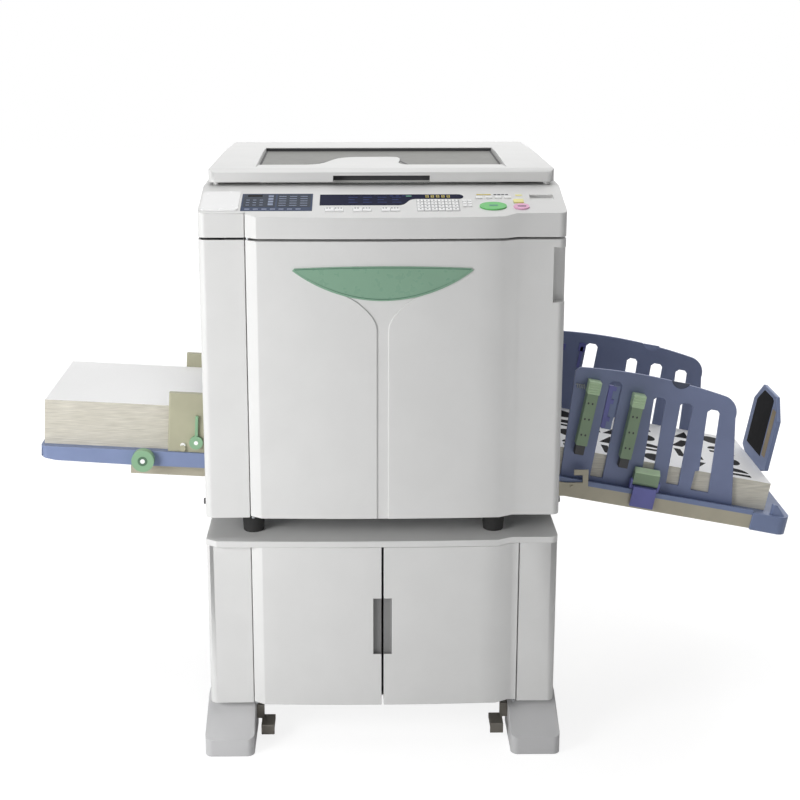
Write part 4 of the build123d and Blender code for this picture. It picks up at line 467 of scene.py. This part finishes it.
def paint_recesses(soft):
    """Dark handle recess of the doors, dark notch of the lid, and painted shade on the upright walls of the
    lid's pocket.
    """
    for name in ("left_door", "right_door"):
        paint_where(soft[name], "recess_grey", BODY,
                    lambda c, n: abs(c.x) < RECESS_HALF and RECESS_Z[0] < c.z < RECESS_Z[1]
                    and RECESS_Y[0] < c.y < RECESS_Y[1])
    lid_front = (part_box("platen_cover")[0].y - FRONT_Y) / MM
    notch_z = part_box("platen_pad")[0].z / MM + NOTCH_LIFT
    paint_where(soft["platen_cover"], "dark_gap", BODY,
                lambda c, n: abs(c.x) < NOTCH_HALF and c.y < lid_front + NOTCH_DEPTH
                and notch_z < c.z < notch_z + NOTCH_HEIGHT
                and (c.y > lid_front + NOTCH_LIP or abs(n.z) > LEVEL_FACE))
    # Painted shade: the upright walls of the lid's pocket are made dark grey
    floor_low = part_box("document_floor")[0]
    pocket = (floor_low.y - FRONT_Y) / MM
    paint_where(soft["platen_cover"], "dark_gap", BODY,
                lambda c, n: abs(c.x) < POCKET_HALF and pocket - POCKET_FRONT < c.y < pocket + POCKET_BACK
                and floor_low.z / MM < c.z < floor_low.z / MM + POCKET_WALL and abs(n.z) < UPRIGHT_FACE)


def paint_arrangers(soft):
    """Black feet and pale caps of the arrangers, and the pale cap of the clamp."""
    for name, _, _, low in ARRANGERS:
        paint_where(soft[name], "dark_gap", OUT, lambda c, n, low=low: c.z < low + FOOT_TOP)
        paint_where(soft[name], "cap_green", OUT, lambda c, n, low=low: c.z > low + CAP_LOW)
    paint_where(soft["clamp_lever"], "cap_green", OUT, lambda c, n: c.z > CLAMP_CAP_LOW)


# Hump of the lid's floor: its height, its long rising side and its short falling side
HUMP, HUMP_STEPS = 117.0, 16
RISE_START, RISE_LENGTH, RISE_LEAN = -157.6, 117, 0.4
FALL_START, FALL_LENGTH = 18.6, 40
# Line of painted shade along the floor's edge and the hump: insets from the edge, and base and top above the
# floor
SHADE_LINE_OUTER, SHADE_LINE_INNER, SHADE_LINE_BASE, SHADE_LINE_TOP = 0.4, 4.0, 0.02, 0.3


def shade_line_edge(inset, half, front, back):
    """One edge line of the painted shade line, along the hump and around the corners of the floor."""
    shares = [i / HUMP_STEPS for i in range(HUMP_STEPS + 1)]
    swell = [(RISE_START + inset * RISE_LEAN + RISE_LENGTH * s, HUMP * (3 - 2 * s) * s ** 2) for s in shares]
    swell += [(FALL_START + FALL_LENGTH * s, HUMP * (1 - (3 - 2 * s) * s ** 2)) for s in shares]
    lower = HUMP_STEPS // 2
    upper = HUMP_STEPS - lower + 1
    bend = [-1] * lower + [-0.5] * upper + [0.5] * lower + [1] * upper
    curve = [(x + inset * side, front + inset + y) for (x, y), side in zip(swell, bend)]
    low, high, right = front + inset, back - inset, half - inset
    return [(-right, low)] + curve + [(right, low), (right, high), (-right, high), (-right, low)]


def make_floor_shade_line():
    """Dark line of painted shade around the floor of the lid's recess, at the foot of its walls, which also
    follows the hump.
    """
    low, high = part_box("document_floor")
    half, front = (high.x - low.x) / 2 / MM, (low.y - FRONT_Y) / MM
    back, top = (high.y - FRONT_Y) / MM, high.z / MM
    outer, inner = [shade_line_edge(inset, half, front, back) for inset in (SHADE_LINE_OUTER, SHADE_LINE_INNER)]
    bands = [[outer[i], outer[i + 1], inner[i + 1], inner[i]] for i in range(len(outer) - 1)]
    base, rim = top + SHADE_LINE_BASE, top + SHADE_LINE_TOP
    # Painted shade along the foot of the pocket's walls
    plates("floor_shade_line", BODY, bands, base, rim, "dark_gap", "platen_lid", "floor_dark")


# Control panel
# Places on the panel are in millimetres, as left, right, low, high. A grid is left, width, step,
# columns, low, height and, where it has rows, their rise and number.
LABEL_PANES = (rect(-247, -190, 26, 83), rect(-187, -127, 26, 83))
LABEL_SCREEN = rect(-240, -214, 72, 80)
LABEL_GRIDS = ((-243, 9, 15, 7, 15, 4), (-184, 13, 19, 3, 32, 2, 10, 5), (-203, 9, 0, 1, 34, 8, 12, 4),
               (-242, 6, 12, 3, 34, 2, 11, 3))
LINE_LEFT, LINE_LOW, LINE_LENGTHS, LINE_HEIGHT = -60, 46, (16, 11, 16), 1.5
LINE_STEP, LINE_RISE, LINE_COLUMNS = 26, 11, 4
DISPLAY_GRID = (14, 6, 11, 3, 74, 2)
DISPLAY_LAMP = rect(43, 53, 72, 76)
DIGITS, DIGIT_LEFT, DIGIT_STEP, DIGIT_WIDTH, DIGIT_Y = 5, 78, 9.5, 5.8, (67, 78)
DIGIT_POST, DIGIT_BAR, DIGIT_BARS = 1.3, 1.6, (67, 71.8, 76.4)
KEY_ROWS, KEY_ROW_WIDTH, KEY_ROW_Y = (-102, -52.5, -3), 33, (12, 21)
KEY_LEGEND_SPOTS, KEY_LEGEND_STEP, KEY_LEGEND_WIDTH, KEY_LEGEND_Y = (0, 1, 3, 4, 5), 5, 3, (15.2, 17.4)
KEY_LEGEND_START = 3
# Grey plate under the keypad: painted shade in the gaps between the keys
KEYPAD_SHADE_PLATE = rect(61, 137, 7.5, 58)
KEYPAD_LEFT, KEYPAD_LOW, KEYPAD_STEP, KEYPAD_COLUMNS, KEYPAD_ROWS = 62, 8.5, 12.4, 6, 4
KEYPAD_LEGEND_X, KEYPAD_LEGEND_Y = (4, 6.4), (3.4, 5.6)
START_MARK, STOP_MARK = rect(189, 204, 24, 30), rect(239, 254, 22, 25.5)
RIGHT_STRIP, RIGHT_PALE = rect(170, 196, 78, 82), rect(240, 252, 74, 80)
RIGHT_GRID = (201, 5, 7, 4, 78.5, 3)
SHADE_PLATE_LIFT = 0.02


def marks(name, outlines, look, lift=PANEL_TOP, body="machine", slot_name="display_navy"):
    """Flat marks on the panel, or on its keys."""
    plates(name, SLOPE, outlines, lift, lift + INK, look, body, slot_name)


def make_label_marks():
    """Panes, small screen and strokes of the label panel."""
    marks("label_panes", LABEL_PANES, "dark_ink", slot_name="label_slate")
    marks("label_screen", [LABEL_SCREEN], "print_black", PANEL_TOP + INK, slot_name="label_slate")
    strokes = [stroke for numbers in LABEL_GRIDS for stroke in grid(*numbers)]
    marks("label_strokes", strokes, "pale_ink", PANEL_TOP + INK, slot_name="label_slate")


def make_display_marks():
    """Strokes, lamp and lit signs of the display."""
    strokes = []
    for i in range(LINE_COLUMNS):
        for j, length in enumerate(LINE_LENGTHS):
            left, low = LINE_LEFT + LINE_STEP * i, LINE_LOW + LINE_RISE * j
            strokes.append(rect(left, left + length, low, low + LINE_HEIGHT))
    strokes += grid(*DISPLAY_GRID)
    marks("display_strokes", strokes, "blue_ink")
    marks("display_lamp", [DISPLAY_LAMP], "green_ink")
    digits = []
    for i in range(DIGITS):
        left = DIGIT_LEFT + DIGIT_STEP * i
        right = left + DIGIT_WIDTH
        digits += [rect(left, left + DIGIT_POST, *DIGIT_Y), rect(right - DIGIT_POST, right, *DIGIT_Y)]
        digits += [rect(left, right, low, low + DIGIT_BAR) for low in DIGIT_BARS]
    marks("display_digits", digits, "yellow_ink")


def make_key_marks():
    """Strokes that stand for legends on and beside the keys, and grey plates under the keys that paint shade
    in the gaps between them.
    """
    legends = []
    for row in KEY_ROWS:
        lefts = [row + KEY_LEGEND_START + KEY_LEGEND_STEP * i for i in KEY_LEGEND_SPOTS]
        legends += [rect(left, left + KEY_LEGEND_WIDTH, *KEY_LEGEND_Y) for left in lefts]
    marks("key_legends", legends, "dark_ink", KEY_TOP, "key_group", "key_white")
    shade_plates = [KEYPAD_SHADE_PLATE] + [rect(left, left + KEY_ROW_WIDTH, *KEY_ROW_Y) for left in KEY_ROWS]
    # Grey plates under the keypad and the key rows: painted shade between the keys
    marks("key_shade_plates", shade_plates, "painted_key_shade", SHADE_PLATE_LIFT, slot_name="body_light")
    legends = []
    for i in range(KEYPAD_COLUMNS):
        for j in range(KEYPAD_ROWS):
            left, low = KEYPAD_LEFT + KEYPAD_STEP * i, KEYPAD_LOW + KEYPAD_STEP * j
            legends.append(rect(left + KEYPAD_LEGEND_X[0], left + KEYPAD_LEGEND_X[1],
                                low + KEYPAD_LEGEND_Y[0], low + KEYPAD_LEGEND_Y[1]))
    marks("keypad_legends", legends, "dark_ink", KEY_TOP, "key_group", "key_white")
    marks("start_mark", [START_MARK], "green_ink", KEY_TOP, "key_start", "key_green")
    marks("stop_mark", [STOP_MARK], "dark_ink", KEY_TOP, "key_stop", "key_pink")
    marks("right_strip", [RIGHT_STRIP], "yellow_ink")
    marks("right_strokes", grid(*RIGHT_GRID), "dark_ink")
    marks("right_pale", [RIGHT_PALE], "key_yellow")


# Emblem: arch of the front it lies on, then its half width, heights and dark rim
ARCH_MIDDLE, ARCH_HALF, ARCH_RISE = -4.2, 217.2, 5.0
EMBLEM_HALF, EMBLEM_MIDDLE, EMBLEM_STEPS = 155.0, 895.0, 40
TIP_Z, CORNER_Z, CREST_Z, LOW_Z = 918.0, 920.5, 924.0, 866.5
RIM_WIDTH, RIM_BACK, RIM_FRONT = 1.3, 2.0, 2.35


def arch_front(x):
    """Depth of the arched front at one x: a flat arc between the bevel and the dip."""
    radius = (ARCH_HALF ** 2 + ARCH_RISE ** 2) / (2 * ARCH_RISE)
    return -ARCH_DEPTH + radius - sqrt(radius ** 2 - (x - ARCH_MIDDLE) ** 2)


def make_emblem_rim():
    """Thin dark line along the emblem's outline, lying on its arched face."""
    outline = []
    for i in range(EMBLEM_STEPS + 1):
        x = -EMBLEM_HALF + 2 * EMBLEM_HALF * i / EMBLEM_STEPS
        outline.append((x, CORNER_Z + (CREST_Z - CORNER_Z) * (1 - (x / EMBLEM_HALF) ** 2)))
    for i in range(1, EMBLEM_STEPS):
        x = EMBLEM_HALF - 2 * EMBLEM_HALF * i / EMBLEM_STEPS
        outline.append((x, TIP_Z - (TIP_Z - LOW_Z) * (1 - (x / EMBLEM_HALF) ** 2)))
    shape = bmesh.new()
    rings = []
    for inward, lift in ((0, RIM_BACK), (0, RIM_FRONT), (RIM_WIDTH, RIM_FRONT), (RIM_WIDTH, RIM_BACK)):
        ring = []
        for x, z in outline:
            rim_x = x * (1 - inward / EMBLEM_HALF)
            rim_z = EMBLEM_MIDDLE + (z - EMBLEM_MIDDLE) * (1 - 2 * inward / (CREST_Z - LOW_Z))
            point = Vector((rim_x * MM, (arch_front(rim_x) - lift) * MM, rim_z * MM))
            ring.append(shape.verts.new(BODY @ point))
        rings.append(ring)
    count = len(outline)
    for a, b in zip(rings, rings[1:] + rings[:1]):
        for i in range(count):
            j = (i + 1) % count
            shape.faces.new((a[i], a[j], b[j], b[i]))
    add_shape("emblem_rim", shape, "rim_green", "front_door")


# Print and receiving side
PRINT_LEFT, PRINT_COLUMN_STEP, PRINT_COLUMNS = 44, 82, 5
PRINT_LOW, PRINT_ROW_STEP, PRINT_ROWS = -102, 66, 4
PRINT_INK = 0.15
# Bold marks of the print: half sizes, and how far their parts stay from the middle
MARK_KINDS, MARK_X, MARK_Y, DISC_X = 4, 26, 24, 25
ARC_Y, BAR_GAP, POST_GAP, WEDGE_GAP, SLANT_GAP = 22, 10, 12, 8, 4


def printed_mark(kind, x, y):
    """One bold mark: half disc over a bar, bar beside a wedge, disc, or slanted bar."""
    left, right, low, high = x - MARK_X, x + MARK_X, y - MARK_Y, y + MARK_Y
    if kind == 0:
        return [oval(x, y, MARK_X, ARC_Y, 0, pi), rect(left, right, y - ARC_Y, y - BAR_GAP)]
    if kind == 1:
        return [rect(left, x - POST_GAP, low, high), [(x - WEDGE_GAP, low), (right, low), (right, high)]]
    if kind == 2:
        return [oval(x, y, DISC_X, MARK_Y)]
    return [[(left, low), (x - SLANT_GAP, low), (right, high), (x + SLANT_GAP, high)]]


def make_print():
    """Bold abstract marks printed on the top sheet, in rows."""
    shapes = []
    for row in range(PRINT_ROWS):
        for column in range(PRINT_COLUMNS):
            x, y = PRINT_LEFT + PRINT_COLUMN_STEP * column, PRINT_LOW + PRINT_ROW_STEP * row
            shapes += printed_mark((row * 2 + column) % MARK_KINDS, x, y)
    ink_top = PRINT_TOP + PRINT_INK
    plates("sheet_print", OUT, shapes, PRINT_TOP, ink_top, "print_black", "machine", "plain_paper")


# A lift is how far a plate starts and ends above its drawing plane, and inside is a depth within a guide
HOLE_HEIGHTS, HOLE_SIDES, HOLE_LIFT = (42, 74, 106), (-5, 3), (20.35, 20.55)
HOLE_X, HOLE_Z, HOLE_STEPS = 1.8, 2.2, 12
CUP = oval(210, 226, 17, 13, pi, 2 * pi)
INSIDE_FRONT, INSIDE_REAR, CUP_LIFT = GUIDE_FRONT + 4.5, 145.0, (0, 3)
SLOT_PANEL, SLOT_LIFT = rect(78, 97, 108, 196), (0, 1.2)
REAR_LINKS = (rect(20, 27, 120, 190), rect(17, 30, 182, 196), rect(18, 29, 132, 146),
              rect(62, 68, 150, 196), rect(58, 72, 186, 204))
LINK_LIFT = (0.3, 2.3)
PAPER_START, STOP_GAP, STOP_LIFT = 1, 0.3, (0.02, 0.27)
STOP_PAD = ((-62, 78), (38, 78), (38, 196), (28, 200), (-30, 200), (-62, 172))
STOP_STRIP = rect(44, 66, 84, 182)


def make_arranger_holes():
    """Small dark marks of painted shade that stand for the holes of the arrangers."""
    front = upright(OUT, GUIDE_FRONT)
    for _, body, x, low in ARRANGERS:
        holes = []
        for height in HOLE_HEIGHTS:
            middle = low + height
            holes += [oval(x + side, middle, HOLE_X, HOLE_Z, steps=HOLE_STEPS) for side in HOLE_SIDES]
        # Dark marks painted as the shade seen in the holes
        plates(body + "_holes", front, holes, *HOLE_LIFT, "dark_gap", body, "arranger_green")


def make_guide_details():
    """Grip cups of the receiving guides, the front one dark with painted shade and the rear one pale with
    painted light, and what shows through their slots.
    """
    # The front cup's dark tone is painted shade, the rear cup's pale tone is painted light
    for name, depth, look in (("front", INSIDE_FRONT, "cup_shade"), ("rear", INSIDE_REAR, "cup_light")):
        plates("cup_" + name, upright(OUT, depth), [CUP], *CUP_LIFT, look, "out_fence_" + name, "guide_slate")
    behind = upright(OUT, INSIDE_FRONT)
    plates("slot_panel", behind, [SLOT_PANEL], *SLOT_LIFT, "tray_blue", "out_fence_front", "guide_slate")
    rear = upright(OUT, GUIDE_REAR)
    plates("rear_links", rear, REAR_LINKS, *LINK_LIFT, "link_purple", "out_fence_rear", "guide_slate")


def make_stop_details():
    """Black pad and tan strip on the face of the end stop."""
    stop = facing_left(OUT, PAPER_START + PAPER_LENGTH + STOP_GAP)
    plates("stop_pad", stop, [STOP_PAD], *STOP_LIFT, "print_black", "paper_stop", "tray_blue")
    plates("stop_strip", stop, [STOP_STRIP], *STOP_LIFT, "tan_strip", "paper_stop", "tray_blue")


SPRING_START = Vector((10.5, GUIDE_FRONT - 5.5, 186.0))
SPRING_PITCH, SPRING_RADIUS, SPRING_WIRE = 3.5, 4.2, 0.8
SPRING_TURNS, SPRING_STEPS, SPRING_SIDES = 5, 16, 6


def make_spring():
    """Small wire spring that lies along the front guide beside the left arranger."""
    shape = bmesh.new()
    rings = []
    for i in range(SPRING_TURNS * SPRING_STEPS + 1):
        angle = 2 * pi * i / SPRING_STEPS
        outward = Vector((0, cos(angle), sin(angle)))
        middle = SPRING_START + Vector((SPRING_PITCH * i / SPRING_STEPS, 0, 0)) + SPRING_RADIUS * outward
        ring = []
        for j in range(SPRING_SIDES):
            around = 2 * pi * j / SPRING_SIDES
            offset = SPRING_WIRE * (cos(around) * outward + sin(around) * Vector((1, 0, 0)))
            ring.append(shape.verts.new(OUT @ ((middle + offset) * MM)))
        rings.append(ring)
    for a, b in zip(rings, rings[1:]):
        for j in range(SPRING_SIDES):
            k = (j + 1) % SPRING_SIDES
            shape.faces.new((a[j], a[k], b[k], b[j]))
    shape.faces.new(rings[0][::-1])
    shape.faces.new(rings[-1])
    add_shape("guide_spring", shape, "spring_steel", "out_fence_front")


# Feed side and sides of the body
DIAL_X, DIAL_Z, DIAL_RING, DIAL_CENTRE = 199, -16, 9.5, 4.6
DIAL_RING_LIFT, DIAL_CENTRE_LIFT = (16.02, 16.3), (16.3, 16.9)
LOCK_CENTRE, LOCK_LIFT = oval(299, 21.7, 4, 4), (8.02, 8.6)
STUDS, STUD_LIFT = (oval(338, 44, 4.2, 4.2), oval(273, 14, 5, 4.2)), (0.05, 2.2)
KNOB, KNOB_LENGTH = oval(-40, 470, 5.5, 5.5), 6.0


def make_feed_details():
    """Dark ring of painted shade over the dial's groove, pale centre of the dial, centre of the lock, and
    small studs on the guide.
    """
    dial = upright(FEED, DIAL_FRONT)
    ring, centre = oval(DIAL_X, DIAL_Z, DIAL_RING, DIAL_RING), oval(DIAL_X, DIAL_Z, DIAL_CENTRE, DIAL_CENTRE)
    # Dark ring over the dial's groove: painted shade
    plates("dial_ring", dial, [ring], *DIAL_RING_LIFT, "dial_shade", "feed_dial", "part_green")
    plates("dial_centre", dial, [centre], *DIAL_CENTRE_LIFT, "plate_white", "feed_dial", "part_green")
    lock = upright(FEED, LOCK_FRONT)
    plates("lock_centre", lock, [LOCK_CENTRE], *LOCK_LIFT, "plate_white", "feed_lock", "part_green")
    guide = upright(FEED, FEED_GUIDE_FRONT)
    plates("guide_studs", guide, STUDS, *STUD_LIFT, "plate_white", "feed_fence_front", "guide_beige")


def make_side_knobs():
    """Small dark knobs low on both sides of the body."""
    sides = (("left", -HALF_WIDTH, 0.0, KNOB_LENGTH), ("right", HALF_WIDTH, -KNOB_LENGTH, 0.0))
    for name, x, low, high in sides:
        side = facing_left(BODY, x)
        plates(name + "_knob", side, [KNOB], low, high, "dark_gap", "machine", "body_light")


# Stage
WHITE = (1.0, 1.0, 1.0, 1.0)
WORLD_LIGHT, WORLD_SEEN = 0.19, 1.0
FLOOR_HALF, FLOOR_SCALE, FLOOR_ROUGHNESS = 9.0, 2.0, 0.9
FLOOR_LOW, FLOOR_HIGH = [0.90, 0.90, 0.90, 1], [0.94, 0.94, 0.94, 1]
# Glow of the floor: its strength, and its share from near to far, in metres from the middle
GLOW, GLOW_NEAR, GLOW_FAR, SHARE_NEAR, SHARE_FAR = 1.2, 0.6, 1.8, 0.70, 1.0
# Lamps: name, place and size in metres, and energy in watts
LAMPS = (("key", (-1.5, -1.3, 0.95), 0.8, 22.5), ("front", (1.1, -2.3, 0.5), 1.0, 3.5),
         ("rear", (2.0, 1.8, 2.9), 1.8, 34), ("top", (-0.3, 0.3, 3.0), 1.6, 30))
LAMP_AIM = Vector((0, 0, 0.6))
LENS, SHIFT_X, SHIFT_Y = 64.65, 0.025, -0.122
CAMERA_PLACE, CAMERA_PITCH, CAMERA_TURN = (-0.1145, -2.7661, 1.4293), 12.98, -0.857


def make_world():
    """Dim light from all sides, seen as plain white by the camera and in reflections."""
    world = bpy.data.worlds.new("studio")
    bpy.context.scene.world = world
    world.use_nodes = True
    nodes, links = world.node_tree.nodes, world.node_tree.links
    lit = nodes["Background"]
    lit.inputs["Color"].default_value = WHITE
    lit.inputs["Strength"].default_value = WORLD_LIGHT
    seen = nodes.new("ShaderNodeBackground")
    seen.inputs["Color"].default_value = WHITE
    seen.inputs["Strength"].default_value = WORLD_SEEN
    path = nodes.new("ShaderNodeLightPath")
    either = path.outputs["Is Camera Ray"]
    for name in ("Is Glossy Ray", "Is Transmission Ray"):
        largest = nodes.new("ShaderNodeMath")
        largest.operation = "MAXIMUM"
        links.new(either, largest.inputs[0])
        links.new(path.outputs[name], largest.inputs[1])
        either = largest.outputs["Value"]
    mix = nodes.new("ShaderNodeMixShader")
    links.new(either, mix.inputs["Fac"])
    links.new(lit.outputs["Background"], mix.inputs[1])
    links.new(seen.outputs["Background"], mix.inputs[2])
    links.new(mix.outputs["Shader"], nodes["World Output"].inputs["Surface"])


def make_floor():
    """Pale floor that looks white to the camera, more so far away, and keeps a soft shadow."""
    mesh = bpy.data.meshes.new("floor")
    corners = rect(-FLOOR_HALF, FLOOR_HALF, -FLOOR_HALF, FLOOR_HALF)
    mesh.from_pydata([(x, y, 0) for x, y in corners], [], [(0, 1, 2, 3)])
    floor = bpy.data.objects.new("floor", mesh)
    bpy.context.scene.collection.objects.link(floor)
    tree = Tree("floor")
    drift = tree.ramp(tree.noise(FLOOR_SCALE), FLOOR_LOW, FLOOR_HIGH)
    tree.link(drift, tree.shader.inputs["Base Color"])
    tree.shader.inputs["Roughness"].default_value = FLOOR_ROUGHNESS
    glow = tree.add("ShaderNodeEmission")
    glow.inputs["Strength"].default_value = GLOW
    distance = tree.add("ShaderNodeVectorMath", operation="LENGTH")
    tree.link(tree.coordinates, distance.inputs[0])
    share = tree.add("ShaderNodeMapRange")
    share.inputs["From Min"].default_value = GLOW_NEAR
    share.inputs["From Max"].default_value = GLOW_FAR
    share.inputs["To Min"].default_value = SHARE_NEAR
    share.inputs["To Max"].default_value = SHARE_FAR
    tree.link(distance.outputs["Value"], share.inputs["Value"])
    seen = tree.add("ShaderNodeMath", operation="MULTIPLY")
    tree.link(tree.add("ShaderNodeLightPath").outputs["Is Camera Ray"], seen.inputs[0])
    tree.link(share.outputs["Result"], seen.inputs[1])
    mix = tree.add("ShaderNodeMixShader")
    tree.link(seen.outputs["Value"], mix.inputs["Fac"])
    tree.link(tree.shader.outputs["BSDF"], mix.inputs[1])
    tree.link(glow.outputs["Emission"], mix.inputs[2])
    tree.link(mix.outputs["Shader"], tree.tree.nodes["Material Output"].inputs["Surface"])
    mesh.materials.append(tree.material)


def add_lamp(name, where, size, energy):
    """Square area lamp that points at the middle of the object."""
    lamp = bpy.data.lights.new(name, "AREA")
    lamp.size = size
    lamp.energy = energy
    holder = bpy.data.objects.new(name, lamp)
    holder.location = where
    holder.rotation_euler = (LAMP_AIM - Vector(where)).to_track_quat("-Z", "Y").to_euler()
    bpy.context.scene.collection.objects.link(holder)


def make_camera():
    camera = bpy.data.cameras.new("camera")
    camera.lens = LENS
    camera.shift_x = SHIFT_X
    camera.shift_y = SHIFT_Y
    holder = bpy.data.objects.new("camera", camera)
    holder.location = CAMERA_PLACE
    holder.rotation_euler = (radians(90 - CAMERA_PITCH), 0, radians(CAMERA_TURN))
    bpy.context.scene.collection.objects.link(holder)
    bpy.context.scene.camera = holder


make_camera()
make_world()
make_floor()
for lamp in LAMPS:
    add_lamp(*lamp)
bpy.context.scene.view_settings.view_transform = "Standard"
dress_nodes()
soft_pieces = {node: softened(node, width) for node, width in EDGES.items()}
paint_recesses(soft_pieces)
paint_arrangers(soft_pieces)
make_floor_shade_line()
make_label_marks()
make_display_marks()
make_key_marks()
make_emblem_rim()
make_print()
make_arranger_holes()
make_guide_details()
make_stop_details()
make_spring()
make_feed_details()
make_side_knobs()
